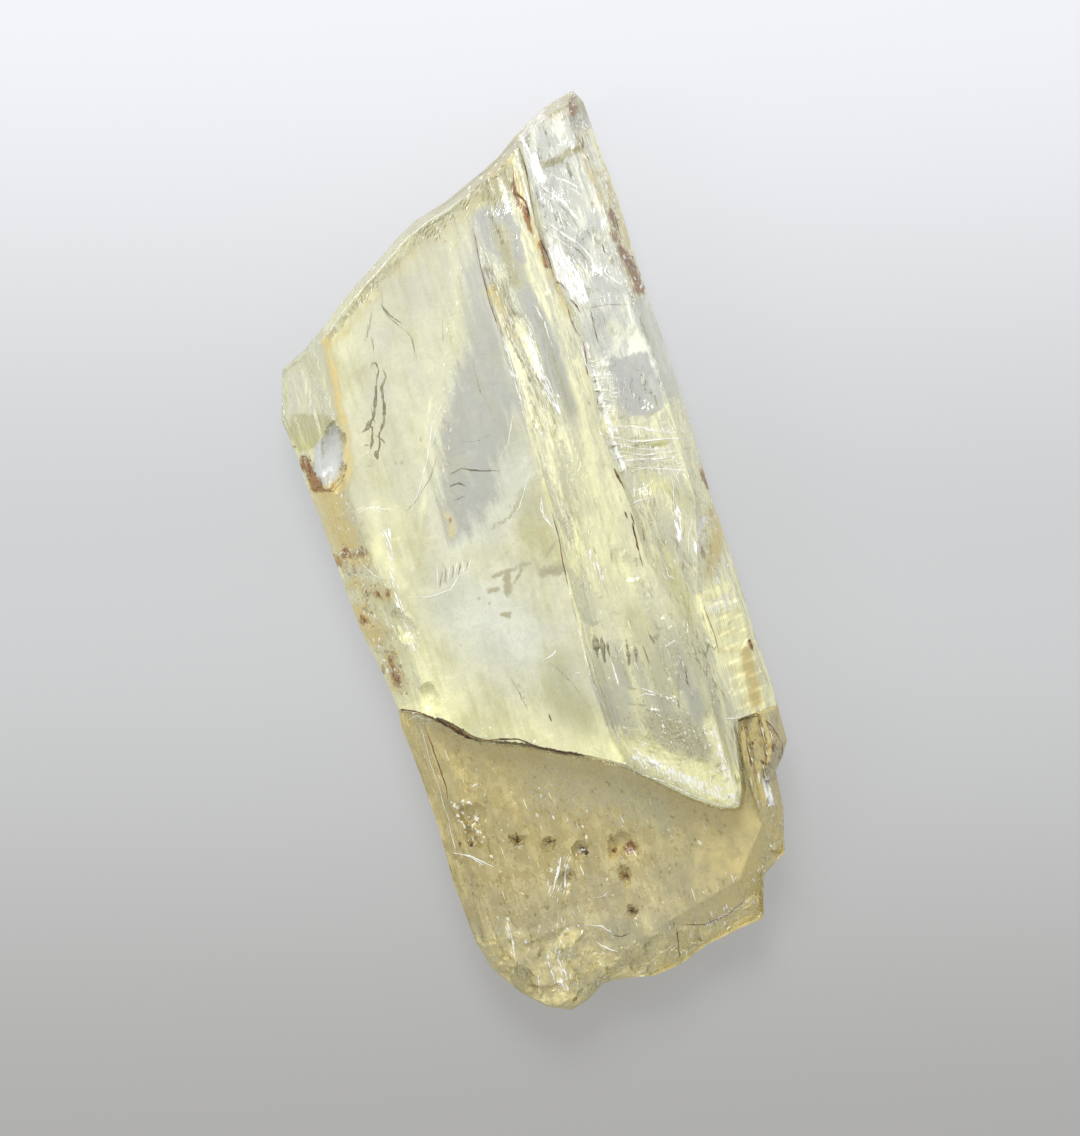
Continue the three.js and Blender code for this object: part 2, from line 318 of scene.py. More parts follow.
def within(x, y, points, low, high):
    """1 inside a closed outline, 0 outside it: an S-curve from low to high mm inside its edge."""
    return smooth(outline_depth(x, y, points), low, high)


def glow(x, y, features):
    """Soft marks along paths: each is (points, half width, strength), and the strongest wins."""
    total = np.zeros(x.shape)
    for points, half_width, strength in features:
        total = np.maximum(total, strength * np.exp(-(path_distance(x, y, points) / half_width) ** 2))
    return total


print("1, 2 and 3 mm from a path", glow(np.arange(3) + 1.0, np.zeros(3), [([(0, 0)], 2.0, 1.0)]).round(2))


# %% [markdown]
# ## Feature lines
#
# The look of the blade comes from a few lines that run its whole length or cross it: the two side
# edges, the crests where the bevels meet the front, the foot and head of the ridge, the ragged
# break. Each is a short list of given points. `lengthwise` lines give x for any y,
# `crosswise` lines give y for any x. The mesh will have a row or column of vertices exactly on
# each line, which is what keeps the ledges sharp.

# %% Lines along and across the blade
def lengthwise(points):
    """x as a function of y, straight between the given (x, y) points."""
    x, y = np.array(sorted(points, key=lambda p: p[1]), float).T
    return lambda at: np.interp(at, y, x)


def crosswise(points):
    """y as a function of x, straight between the given (x, y) points."""
    x, y = np.array(sorted(points), float).T
    return lambda at: np.interp(at, x, y)


left_edge = lengthwise([
    (-13.4, 19.5), (-14.1, 17.4), (-14.6, 15.9), (-14.3, 12.7), (-14.3, 10.8), (-14.1, 7.7),
    (-13.9, 3.4), (-13.7, -0.9), (-13.1, -4.6), (-12.8, -7.3), (-13.0, -8.7), (-12.7, -12.8),
    (-12.6, -17.0), (-12.8, -21.0), (-12.6, -25.7), (-12.0, -28.1), (-10.5, -30.5)])
left_crest = lengthwise([
    (-9.5, 21.0), (-9.8, 19.5), (-10.0, 17.4), (-10.4, 14.4), (-10.7, 12.4), (-11.3, 10.8),
    (-11.5, 7.7), (-11.3, 3.4), (-10.6, -0.2), (-10.5, -7.3), (-11.7, -10.2), (-11.5, -14.0),
    (-10.9, -17.0), (-10.8, -25.7), (-10.0, -28.1), (-8.8, -30.5)])
# The lines of the ridge are given at the same places along y, with a few extra points at the ends.
STATIONS = [28.6, 25.6, 22.1, 19.2, 16.5, 13.2, 10.8, 7.9, 4.8, 1.7, -2.2, -6.3, -9.6, -14.5]


def at_stations(values, *more):
    """A lengthwise line with one value for each station, and more (value, y) points."""
    return lengthwise([*zip(values, STATIONS), *more])


ridge_foot = at_stations(
    [5.2, 3.5, 3.1, 3.0, 3.0, 2.9, 2.8, 2.7, 2.6, 2.6, 2.3, 2.0, 1.7, 1.8], (2.2, -16.0), (2.4, -34))
ridge_head = at_stations(
    [6.6, 5.4, 5.1, 5.0, 5.6, 5.2, 5.8, 5.8, 4.8, 4.4, 3.6, 3.0, 2.7, 2.9], (3.6, -18.0), (3.8, -34))
ridge_edge = at_stations(
    [8.3, 8.1, 7.9, 7.9, 8.6, 8.5, 8.3, 8.0, 8.2, 8.4, 8.3, 9.3, 9.7, 9.7],
    (8.4, 30.6), (9.4, -20.0), (9.2, -34))
right_crest = lengthwise([
    (13.0, 31.9), (13.1, 28.9), (13.3, 24.1), (13.2, 19.2), (13.5, 13.8), (13.5, 8.4),
    (13.2, 0.8), (12.6, -1.3), (11.4, -5.6), (11.2, -10.6), (11.0, -15.6), (10.7, -19.5),
    (10.6, -27.0)])
right_edge = lengthwise([
    (13.7, 32.9), (14.2, 31.9), (14.3, 28.9), (14.5, 24.1), (14.4, 19.2), (14.5, 13.8),
    (14.6, 8.4), (14.4, 0.4), (14.5, -5.3), (14.4, -10.6), (14.5, -14.1), (14.3, -18.5),
    (13.5, -19.7), (12.8, -20.4), (12.5, -23.2), (11.6, -26.4)])
tip_edge = crosswise([
    (-13.4, 19.5), (-11.3, 20.5), (-9.2, 21.8), (-7.2, 23.3), (-3.5, 25.5), (-2.1, 26.4),
    (-0.4, 27.2), (2.0, 27.8), (5.5, 29.2), (6.8, 29.8), (9.1, 31.3), (11.4, 32.4), (13.7, 32.9)])
broken_edge = crosswise([
    (-10.5, -30.5), (-8.9, -32.1), (-7.2, -32.9), (-5.7, -32.5), (-4.4, -31.7), (-2.9, -31.8),
    (-0.5, -32.3), (1.6, -32.1), (3.9, -31.3), (7.1, -30.8), (8.6, -30.7), (9.0, -29.3),
    (9.6, -27.6), (11.6, -26.4)])
BREAK = [
    (-16.0, -6.6), (-12.8, -7.3), (-11.4, -8.0), (-10.4, -8.9), (-9.4, -9.5), (-8.0, -11.1),
    (-6.3, -12.1), (-4.9, -12.6), (-3.5, -13.4), (-2.2, -14.1), (-0.3, -15.0), (2.0, -16.4),
    (4.0, -18.3), (6.1, -20.3), (8.0, -21.7), (9.3, -22.1)]
BREAK_WALL = 0.35                  # mm from the foot of the break to its head
V_SIDE = [(9.9, -21.0), (10.5, -18.0), (10.9, -15.8), (16.0, -15.6)]
break_head = crosswise(BREAK + V_SIDE)
break_foot = crosswise([(x, y - BREAK_WALL) for x, y in BREAK]
                       + [(x + BREAK_WALL, y - BREAK_WALL / 4) for x, y in V_SIDE])
ridge_wall = lengthwise([(0.35, 34), (0.35, 3), (0.8, -7), (0.8, -11), (0.4, -15.5), (0.35, -34)])
TIP_BEVEL = 0.75                   # mm across the bevel at the tip
END_RIM = 2.4                      # mm from the broken end to where the finer rows start


def ridge_side(y):
    """The foot of the ridge's steep right side."""
    return ridge_edge(y) + ridge_wall(y)


print("break runs from y", break_head(-12.8), "to", break_head(9.3))


def edge_room(x, y):
    """Distance in mm to the nearest outer edge, along x or y; negative outside the stone."""
    return np.minimum(np.minimum(x - left_edge(y), right_edge(y) - x),
                      np.minimum(tip_edge(x) - y, y - broken_edge(x)))


# %% [markdown]
# ## A grid that follows the lines
#
# A column of the grid is "a third of the way from the ridge foot to the ridge head", for all y. A
# row is "halfway from the break to the tip", for all x. Where such a column and row cross has to
# satisfy both, so x and y are found by turns: guess y, read x off the column, read y off the row,
# and repeat. The lines are nearly straight, so a few dozen turns settle it.

# %% Grid points
def steps(counts):
    """Strip number and place within the strip, 0 to 1, for every line of the grid."""
    strip = np.repeat(np.arange(len(counts)), counts)
    place = np.concatenate([np.arange(n) / n for n in counts])
    return np.append(strip, len(counts) - 1), np.append(place, 1.0)


COLUMN_LINES = [left_edge, left_crest, ridge_foot, ridge_head, ridge_edge, ridge_side,
                right_crest, right_edge]
COLUMN_COUNTS = [20, 62, 14, 18, 3, 26, 12]
ROW_LINES = [broken_edge, lambda x: broken_edge(x) + END_RIM, break_foot, break_head,
             lambda x: tip_edge(x) - TIP_BEVEL, tip_edge]
ROW_COUNTS = [16, 72, 3, 168, 8]
SETTLING_TURNS = 80


def settle(lines, strip, place, at):
    """Positions on the grid's lines: each keeps its share of the way across its own strip."""
    edges = np.array([line(at) for line in lines])
    strip = np.broadcast_to(strip, at.shape)[None]
    low = np.take_along_axis(edges, strip, 0)[0]
    high = np.take_along_axis(edges, strip + 1, 0)[0]
    return low + (high - low) * place


def grid_points():
    """x and y of every grid point, as two arrays of rows by columns."""
    column_strip, column_place = steps(COLUMN_COUNTS)
    row_strip, row_place = steps(ROW_COUNTS)
    x = np.zeros((len(row_strip), len(column_strip)))
    y = np.zeros_like(x)
    for _ in range(SETTLING_TURNS):
        x = settle(COLUMN_LINES, column_strip[None, :], column_place[None, :], y)
        y = settle(ROW_LINES, row_strip[:, None], row_place[:, None], x)
    return x, y


gx, gy = grid_points()
rows, columns = gx.shape
area = ((gx[1:, 1:] - gx[:-1, :-1]) * (gy[1:, :-1] - gy[:-1, 1:])
        - (gx[1:, :-1] - gx[:-1, 1:]) * (gy[1:, 1:] - gy[:-1, :-1])) / 2
print("grid", rows, "by", columns, "points, smallest and largest cell, mm2", area.min(), area.max())

# %% [markdown]
# ## Heights of the front
#
# The front is a stack of simple surfaces, and the stone's surface is the lowest or highest of them
# at each point: the broad plate, the ridge on it, the bevels that fall to the girdle, the shelf
# below the break. Hollows are bites of an ellipsoid, chips at the broken end are tilted planes.

# %% The main levels
GIRDLE_Z = 3.4
PLATE_Z = 7.4
SHELF_Z = 5.3
SHELF_FALL = 0.03
SHELF_MIDDLE_Y = -20               # where the shelf is SHELF_Z high; it falls SHELF_FALL mm per mm
ridge_head_z = at_stations(
    [7.6, 8.4, 8.9, 9.0, 9.1, 9.2, 9.1, 9.2, 9.2, 9.25, 9.25, 9.2, 9.2, 9.0], (8.8, -22.6))
ridge_edge_z = at_stations(
    [7.7, 8.6, 8.8, 8.7, 8.8, 8.6, 8.7, 8.7, 8.9, 9.0, 8.9, 8.6, 8.4, 8.3], (7.4, 30.4), (8.3, -22.6))


def ramp(value, start, end):
    """0 at start, 1 at end, a straight line between them."""
    return np.clip((value - start) / (end - start), 0, 1)


def plate_and_ridge(x, y):
    """The upper layer: the plate, and on it the ridge with its leaning left face and steep right."""
    climb = ramp(x, ridge_foot(y), ridge_head(y))
    cross = ramp(x, ridge_head(y), ridge_edge(y))
    drop = ramp(x, ridge_edge(y), ridge_side(y))
    top = ridge_head_z(y) + (ridge_edge_z(y) - ridge_head_z(y)) * cross
    return PLATE_Z + (top - PLATE_Z) * climb * (1 - drop)


def shelf(x, y):
    """The lower layer: a plane that sinks gently towards the broken end."""
    return SHELF_Z + SHELF_FALL * (y - SHELF_MIDDLE_Y)


# Columns at the right of the shelf: from and to which share of the way from crest to edge, the y of
# the lower end, height.
COLUMNS = [(0.0, 0.22, -26.0, 6.3), (0.22, 0.52, -24.4, 5.6), (0.52, 0.8, -20.9, 6.4),
           (0.8, 1.0, -19.9, 5.6)]


def columns_on_shelf(x, y):
    """The prisms still standing at the right of the shelf, 0 where there are none."""
    share = (x - right_crest(y)) / (right_edge(y) - right_crest(y))
    height = np.zeros_like(x)
    for low, high, end, top in COLUMNS:
        ends = past(y, end, -0.25, 0.1)
        inside = (share >= low - 1e-6) & (share < high - 1e-6)
        height = np.where(inside, top * ends, height)
    return height


print("levels in mm: girdle", GIRDLE_Z, "shelf", SHELF_Z, "plate", PLATE_Z, "ridge", ridge_head_z(0))


# %% [markdown]
# The bevels are planes from the girdle up to a crest. Each is written as a height that grows from
# GIRDLE_Z at the edge at a steady slope, so the smaller of the bevel and the level behind it is
# the surface.

# %% Bevels
END_BEVEL = 2.3                    # mm across the bevel at the broken end
COLUMN_BEVEL = 1.3                 # mm across the right bevel beside the columns


def bevels(x, y):
    """Height of the nearest bevel: the lowest of the left, right, tip and broken-end slopes."""
    rise = PLATE_Z - GIRDLE_Z
    crest = np.where(y > break_foot(x), left_crest(y),
                     left_edge(y) + (left_crest(y) - left_edge(y)) * rise / (SHELF_Z - GIRDLE_Z))
    left = (x - left_edge(y)) / (crest - left_edge(y))
    by_columns = smooth(break_head(x) - y, 0, 0.3) * (x > 10)
    right_width = (right_edge(y) - right_crest(y)) * (1 - by_columns) + COLUMN_BEVEL * by_columns
    right = (right_edge(y) - x) / right_width
    tip = (tip_edge(x) - y) / TIP_BEVEL
    end = (y - broken_edge(x)) / END_BEVEL
    return GIRDLE_Z + rise * np.minimum(np.minimum(left, right), np.minimum(tip, end))


print("the bevels climb", PLATE_Z - GIRDLE_Z, "mm to the plate")

# %% [markdown]
# ## Hollows, chips and pits
#
# These are the same bites as in the solid model, finer. A conchoidal hollow is the lower half of
# an ellipsoid; the broken end is five planes; the etch pits on the shelf are small hollows.

# %% Hollows
# x, y, z of the centre, three half sizes, turn about z in degrees.
HOLLOWS = [
    (-12.2, 12.0, 6.6, 1.5, 2.3, 1.7, -25), (10.8, 27.0, 8.7, 1.5, 3.0, 1.7, -8),
    (11.4, 20.6, 8.9, 1.6, 3.6, 1.9, 10), (10.6, 14.4, 8.6, 1.5, 3.4, 1.6, -6),
    (12.0, 9.6, 8.8, 1.5, 3.2, 1.7, 8), (10.4, 4.2, 8.5, 1.7, 3.2, 1.5, -10),
    (4.2, 28.2, 8.2, 1.4, 0.9, 1.5, 25), (0.6, 26.6, 8.0, 1.2, 0.9, 1.2, 25),
    (-5.6, 23.6, 8.1, 1.6, 0.9, 1.3, 32), (-11.0, -1.6, 7.9, 1.1, 2.0, 1.6, 8),
    (-10.7, -7.4, 7.8, 0.9, 1.3, 1.3, 0), (7.2, -2.8, 10.3, 1.7, 2.6, 1.6, 20),
    (6.0, -13.4, 10.0, 1.6, 3.4, 1.3, 12), (10.6, -27.4, 5.2, 1.3, 1.6, 1.5, 30),
    (-12.6, -19.2, 5.0, 0.9, 1.4, 1.2, 0), (5.4, -31.6, 5.0, 1.9, 1.5, 1.6, 0),
    (-1.2, -32.4, 5.3, 2.3, 2.0, 1.9, 10), (-9.6, -31.0, 5.6, 2.4, 1.6, 2.0, -42)]
# x, y, radius of the etch pits.
PITS = [
    (-10.0, -17.0, 0.75), (-10.5, -18.5, 0.45), (-7.3, -19.7, 0.4), (-5.0, -20.3, 0.55),
    (-2.8, -21.7, 0.5), (-0.6, -22.4, 0.6), (0.5, -22.6, 0.75), (-0.3, -24.5, 0.5),
    (-0.6, -27.1, 0.45), (-4.6, -23.2, 0.6)]
PIT_DEPTH = 0.8
# x, y, z of a point on the plane, bearing it falls towards and slope, both in degrees.
END_BREAKS = [
    (-4.6, -27.4, 5.0, -118, 12.5), (0.5, -29.2, 4.9, -78, 34), (6.0, -29.0, 4.9, -70, 38),
    (-9.8, -28.0, 5.0, -140, 33), (8.8, -26.4, 4.9, -42, 42)]


def bite(height, x, y, cx, cy, cz, rx, ry, rz, turn):
    """The surface lowered to the underside of an ellipsoid: cz - rz sqrt(1 - q), q < 1 inside it.

    The place is first shifted by noise, so that the rim is irregular.
    """
    x = x + 1.1 * (layered(x * 0.9, y * 0.6, 81, 3) - 0.5)
    y = y + 2.0 * (layered(x * 0.8, y * 0.6, 82, 3) - 0.5)
    c, s = math.cos(math.radians(turn)), math.sin(math.radians(turn))
    across = ((x - cx) * c + (y - cy) * s) / rx
    along = (-(x - cx) * s + (y - cy) * c) / ry
    q = across**2 + along**2
    bowl = cz - rz * np.sqrt(np.clip(1 - q, 0, 1))
    return np.where(q < 1, np.minimum(height, bowl), height)


def end_plane(x, y, px, py, pz, bearing, slope):
    """Height of a plane that falls from (px, py, pz) towards a bearing."""
    ahead = (x - px) * math.cos(math.radians(bearing)) + (y - py) * math.sin(math.radians(bearing))
    return pz - ahead * math.tan(math.radians(slope))


print(len(HOLLOWS), "hollows,", len(PITS), "pits,", len(END_BREAKS), "planes at the broken end")


# %% [markdown]
# ## Fine relief
#
# Growth left long fine steps along the blade, strongest on the ridge and on the left bevel. The
# clear strip at the right broke in shell-like ripples, and crossing ribs show in three places. The
# steps are only hundredths of a millimetre deep and the chips a few tenths, but they bend the light
# enough to be seen. A table says how deep each pattern is in each place.

# %% Striations, ripples and ribs
def sawtooth(t):
    """A wave of straight steep and shallow flanks, 0 to 1."""
    t = t - np.floor(t)
    return np.where(t < 0.8, t / 0.8, (1 - t) / 0.2)


def striations(x, y, seed):
    """Long steps along y, about -1 to 1: sawtooth waves whose places wander slowly along y."""
    wander = 0.5 * layered(x * 0.15, y * 0.05, seed, 2)
    wide = sawtooth(x / 1.35 + 2.2 * wander + noise(x * 0.3, y * 0.04, seed + 1))
    fine = sawtooth(x / 0.43 + 5 * wander + 1.5 * noise(x * 0.8, y * 0.07, seed + 2))
    return 0.65 * swing(wide) + 0.35 * swing(fine)


def ripples(x, y, cx, cy, pitch, seed):
    """Rings round (cx, cy), about -1 to 1, bent by noise, as on a shell-like fracture."""
    radius = np.hypot(x - cx, (y - cy) * 0.6) + 0.9 * layered(x * 0.5, y * 0.4, seed, 3)
    return swing(sawtooth(radius / pitch))


def window(x, y, x0, x1, y0, y1, soft=0.5):
    """1 inside a rectangle, falling to 0 over a soft margin."""
    return (smooth(x, x0 - soft, x0 + soft) * (1 - smooth(x, x1 - soft, x1 + soft))
            * smooth(y, y0 - soft, y0 + soft) * (1 - smooth(y, y1 - soft, y1 + soft)))


BEVEL_WINDOW = [
    (-10.5, 14.0), (-10.9, 12.0), (-11.6, 10.8), (-12.7, 10.1), (-13.5, 10.3), (-13.5, 11.6),
    (-12.8, 13.2), (-11.8, 13.9), (-10.9, 14.5)]
END_LINE = crosswise([
    (-12.6, -25.4), (-9.8, -25.9), (-6.4, -26.4), (-4.4, -27.6), (-3.1, -28.8), (-1.9, -29.1),
    (0.3, -29.1), (3.0, -29.5), (5.0, -29.7), (7.2, -29.4), (9.0, -27.4), (11.6, -25.0)])


def wall_chips(x, y):
    """Narrow chips on the ridge."""
    return splinters(x * 1.2, y * 0.26, 21)


def strip_chips(x, y):
    """Large chips on the clear strip."""
    return splinters(x * 0.45, y * 0.16, 31)


def end_chips(x, y):
    """Square chips on the broken end."""
    return splinters(x * 0.62, y * 0.7, 51)


print("growth steps at three places", striations(np.arange(3.0), np.zeros(3), 3).round(2))

# %% Relief
# Depth in mm, place, pattern. The last row lowers the plate evenly, to balance its terraces.
RELIEF = [
    (0.012, "plate", "growth steps"), (0.075, "ridge", "growth steps"),
    (0.06, "low ridge", "growth steps"), (0.07, "left bevel", "growth steps"),
    (0.05, "right bevel", "growth steps"), (0.022, "shelf", "growth steps"),
    (0.05, "ridge wall", "growth steps"), (0.20, "ridge wall", "narrow chips"),
    (0.14, "low ridge", "narrow chips"), (0.05, "ridge", "narrow chips"),
    (0.05, "clear strip", "ripples"), (0.13, "clear strip", "large chips"),
    (0.02, "strip below", "ribs"), (0.05, "strip beside", "ribs"), (0.09, "block", "wide ribs"),
    (0.05, "shelf", "mounds"), (0.34, "broken end", "square chips"), (0.10, "broken end", "crumbs"),
    (0.10, "columns", "long chips"), (0.035, "plate", "terraces"), (-0.28, "plate", "even")]


def relief(x, y):
    """Fine height to add to the front, in mm: the sum of depth * place * pattern."""
    upper = smooth(y, break_foot(x), break_head(x))
    wall = (ramp(x, ridge_foot(y) - 0.1, ridge_foot(y) + 0.2)
            * (1 - ramp(x, ridge_head(y) - 0.2, ridge_head(y) + 0.2)))
    ridge = past(x, ridge_head(y), -0.3, 0.3) * (1 - past(x, ridge_edge(y), -0.2, 0.2))
    left = 1 - past(x, left_crest(y), -0.3, 0.2)
    places = {
        "plate": upper * (1 - ramp(x, ridge_foot(y) - 0.3, ridge_foot(y))),
        "ridge wall": wall * upper,
        "ridge": ridge * upper,
        "low ridge": upper * past(x, ridge_foot(y), 0, 0.5) * smooth(-y, 3, 8),
        "left bevel": left * (1 - within(x, y, BEVEL_WINDOW, -0.2, 0.1)),
        "right bevel": past(x, right_crest(y), -0.2, 0.3),
        "clear strip": past(x, ridge_side(y), -0.1, 0.4) * smooth(y, 8, 10) * upper,
        "strip below": window(x, y, 8.6, 13.2, 3.6, 8.0),
        "strip beside": window(x, y, 8.5, 10.1, 8.2, 13),
        "block": window(x, y, 11.6, 15, -15.2, -6.8),
        "shelf": 1 - upper,
        "columns": (1 - upper) * smooth(x, 9.6, 10.6),
        "broken end": smooth(END_LINE(x) - y, -0.2, 0.5)}
    hills = layered(x * 0.16 + 3, y * 0.09, 61, 4) * 16 + 0.6 * layered(x * 1.3, y * 0.7, 62, 3)
    patterns = {
        "growth steps": striations(x, y, 3),
        "narrow chips": wall_chips(x, y)[0],
        "large chips": strip_chips(x, y)[0],
        "long chips": strip_chips(x * 2, y)[0],
        "square chips": end_chips(x, y)[0],
        "crumbs": splinters(x * 1.7, y * 1.7, 52)[0],
        "ripples": ripples(x, y, 7.0, 31.0, 1.5, 5),
        "ribs": swing(sawtooth(y / 0.62 + 0.8 * noise(x * 0.4, y * 0.3, 8))),
        "wide ribs": swing(sawtooth(y / 1.15 + 0.12 * (x - 12))),
        "mounds": swing(layered(x * 0.9, y * 0.55, 41, 4)),
        "terraces": np.floor(hills) + smooth(hills - np.floor(hills), 0.8, 1.0),
        "even": 1.0}
    return sum(depth * places[place] * patterns[pattern] for depth, place, pattern in RELIEF)


print("relief has", len(RELIEF), "parts, the deepest", max(depth for depth, _, _ in RELIEF), "mm")

# %% [markdown]
# ## Front and back heights together
#
# The back is the flat face that the crystal lies on, with two long shallow steps and a bevel up to
# the girdle. Front and back share the girdle's vertices, so the two sheets close into one body. The
# girdle itself wavers a little, as a natural edge does.

# %% Front and back
BACK_SIDE = 1.3                    # mm across the back's bevels at the sides
BACK_END = 0.9                     # and at the two ends
BACK_STEPS = ((-9.4, 0.45), (9.8, 0.6))     # x and height in mm of the left and the right step
LEAST_THICKNESS = 0.05
PIT_STRETCH = 1.4                  # how much longer than wide a pit is


def girdle_z(x, y):
    """Height of the girdle, wavering about GIRDLE_Z."""
    return GIRDLE_Z + 0.5 * (layered(x * 0.3, y * 0.3, 71, 3) - 0.5)


def front_height(x, y):
    """The front surface: levels, bevels, bites and fine relief put together."""
    upper = ramp(y, break_foot(x), break_head(x))
    low = np.maximum(shelf(x, y), columns_on_shelf(x, y))
    height = low + (plate_and_ridge(x, y) - low) * upper
    height = np.minimum(height, bevels(x, y))
    for plane in END_BREAKS:
        height = np.minimum(height, end_plane(x, y, *plane))
    for hollow in HOLLOWS:
        height = bite(height, x, y, *hollow)
    for px, py, radius in PITS:
        height = bite(height, x, y, px, py, shelf(px, py) + 0.1, radius, radius * PIT_STRETCH,
                      PIT_DEPTH, 0)
    return height + relief(x, y) * smooth(edge_room(x, y), 0, 0.7)


def back_height(x, y):
    """The back surface: flat at 0, long steps near the sides, bevels up to the girdle."""
    left_step, right_step = BACK_STEPS
    steps_up = (left_step[1] * (1 - past(x, left_step[0], -0.15, 0.05))
                + right_step[1] * past(x, right_step[0], -0.05, 0.15))
    side = np.minimum(x - left_edge(y), right_edge(y) - x) / BACK_SIDE
    end = np.minimum(tip_edge(x) - y, y - broken_edge(x)) / BACK_END
    return np.maximum(steps_up, girdle_z(x, y) * (1 - np.minimum(side, end)))


border = np.zeros(gx.shape, bool)
border[[0, -1], :] = True
border[:, [0, -1]] = True
back_z = back_height(gx, gy)
front_z = np.maximum(front_height(gx, gy), back_z + LEAST_THICKNESS)
front_z[border] = girdle_z(gx, gy)[border]
back_z[border] = front_z[border]
print("front from", front_z.min(), "to", front_z.max(), "mm")

# %% [markdown]
# ## Where the stone is milky, stained or clear
#
# Colour and milkiness follow features, not noise alone: a clear window in the plate, iron stain
# along the edges and cracks, a bright band above the break that is painted glow of light reflected
# inside the stone, painted shadow along the crest of the break, and painted white glints. Each
# feature is a short path or outline in millimetres. The masks are worked out once per vertex and
# stored on the mesh as named attributes, and the shader roughens their borders with fine grain.

# %% Clear places
PLATE_WINDOW = [
    (3.6, 25.6), (1.6, 21.5), (0.4, 17.5), (-1.4, 14.6), (-2.8, 12.6), (-4.1, 10.4),
    (-4.8, 8.5), (-5.2, 6.1), (-4.9, 3.4), (-3.7, 3.6), (-2.2, 4.3), (-0.8, 5.6), (-0.1, 7.9),
    (1.2, 9.6), (2.3, 11.5), (2.8, 10.8), (3.0, 15.5), (3.0, 19.9), (3.3, 22.9)]
WINDOWS = [
    [(3.9, 26.4), (6.2, 27.0), (6.8, 24.2), (6.4, 21.5), (4.9, 21.8), (3.9, 23.7)],
    [(10.2, 12.9), (13.1, 12.4), (13.2, 9.6), (13.0, 7.9), (10.2, 8.2)],
    [(5.6, 20.0), (6.3, 20.0), (6.8, 14.0), (6.6, 9.6), (5.9, 10.4), (5.7, 15.0)]]
OLIVE_PATCH = [
    (-13.8, 16.1), (-12.9, 15.9), (-10.4, 14.7), (-12.1, 13.9), (-13.0, 13.2), (-14.1, 13.2),
    (-14.3, 14.7)]

print("windows:", 1 + len(WINDOWS))

# %% Milky and white marks
# Path, half width in mm, strength from 0 to 1.
MILK_PATHS = [
    ([(-11.1, 7.8), (-8.9, 7.1)], 0.3, 0.7), ([(-10.4, 7.3), (-10.9, 3.8)], 0.6, 0.7),
    ([(-9.4, 0.6), (-6.4, 0.2)], 0.8, 0.6),
    ([(1.9, 7.6), (0.2, 5.8), (-1.9, 4.2), (-3.9, 3), (-5.2, 2.4)], 0.9, 0.55),
    ([(-3.4, 14.2), (-5, 10.6), (-6.2, 7), (-7.4, 4.6)], 0.4, 0.8),
    ([(1.8, 25.4), (0.7, 20.8), (-1.2, 15.9), (-3, 11.8), (-4.5, 8.4), (-5.3, 6.2)], 0.8, 0.55),
    ([(-4.6, -2.6), (-2.6, -4.8)], 2.4, 0.66), ([(10, 31.2), (8.9, 26.9)], 0.35, 0.9),
    ([(9, 22.9), (9.3, 20.6), (9.2, 18.4)], 0.75, 0.8), ([(14, 29.6), (14, 25.2)], 0.5, 0.75),
    # The four paths that start at (4.6, -16.2), (3, -15.6), (9.2, -15.6) and (1.8, -15) lie along the right
    # part of the break: painted glow of light reflected inside the stone.
    ([(9.3, 12.6), (8.9, 8)], 0.8, 0.9), ([(4.6, -16.2), (9, -20.6)], 2, 1),
    ([(3, -15.6), (9.4, -21.8)], 1.1, 1), ([(9.2, -15.6), (9.2, -21)], 0.65, 1),
    ([(1.8, -15), (5, -17.4), (8.6, -20.6)], 0.95, 1), ([(-7.3, -28.2), (-7.4, -31.2)], 0.8, 0.9),
    ([(13.6, 28.8), (13.8, 26.4)], 0.45, 1), ([(13.9, 24.6), (13.6, 23.6)], 0.3, 0.9),
    ([(12.9, 24.6), (13.2, 22.8)], 0.35, 0.8), ([(6.3, 27.9), (6.4, 27.2)], 0.7, 0.9),
    ([(11.9, -7), (12.6, -14.8)], 1.4, 0.95), ([(12.4, -5.6), (13.6, -1.4)], 0.8, 0.5),
    ([(11.9, -20.8), (11.5, -22.9)], 0.55, 0.9), ([(-5, -24.8), (-4.4, -23.4)], 0.3, 0.7),
    ([(0.3, -29.6), (3, -30.6), (7.6, -29.9)], 0.7, 0.6), ([(5.4, 1.5), (5.2, -2.6)], 1.6, 0.6),
    ([(-9.8, 7.8), (-10.6, 4.4), (-9.6, 1.4)], 0.9, 0.85), ([(-10.2, -1.1), (-11.5, -6)], 0.9, 0.8),
    ([(10.9, 2.8), (10.8, 0.8)], 1.2, 0.75), ([(-10.6, -11), (-9.6, -13.5)], 0.8, 0.75),
    ([(-4.6, -29.4), (-3.6, -31)], 1, 0.85), ([(-9.9, -25.3), (-10.3, -28)], 0.4, 0.9),
    ([(3.4, 19.8), (3.3, 18.4), (3.6, 16.6)], 0.35, 0.9),
    ([(9.7, 28.2), (10.9, 28.2), (11.7, 28.5), (12.7, 28.8)], 0.3, 0.6)]
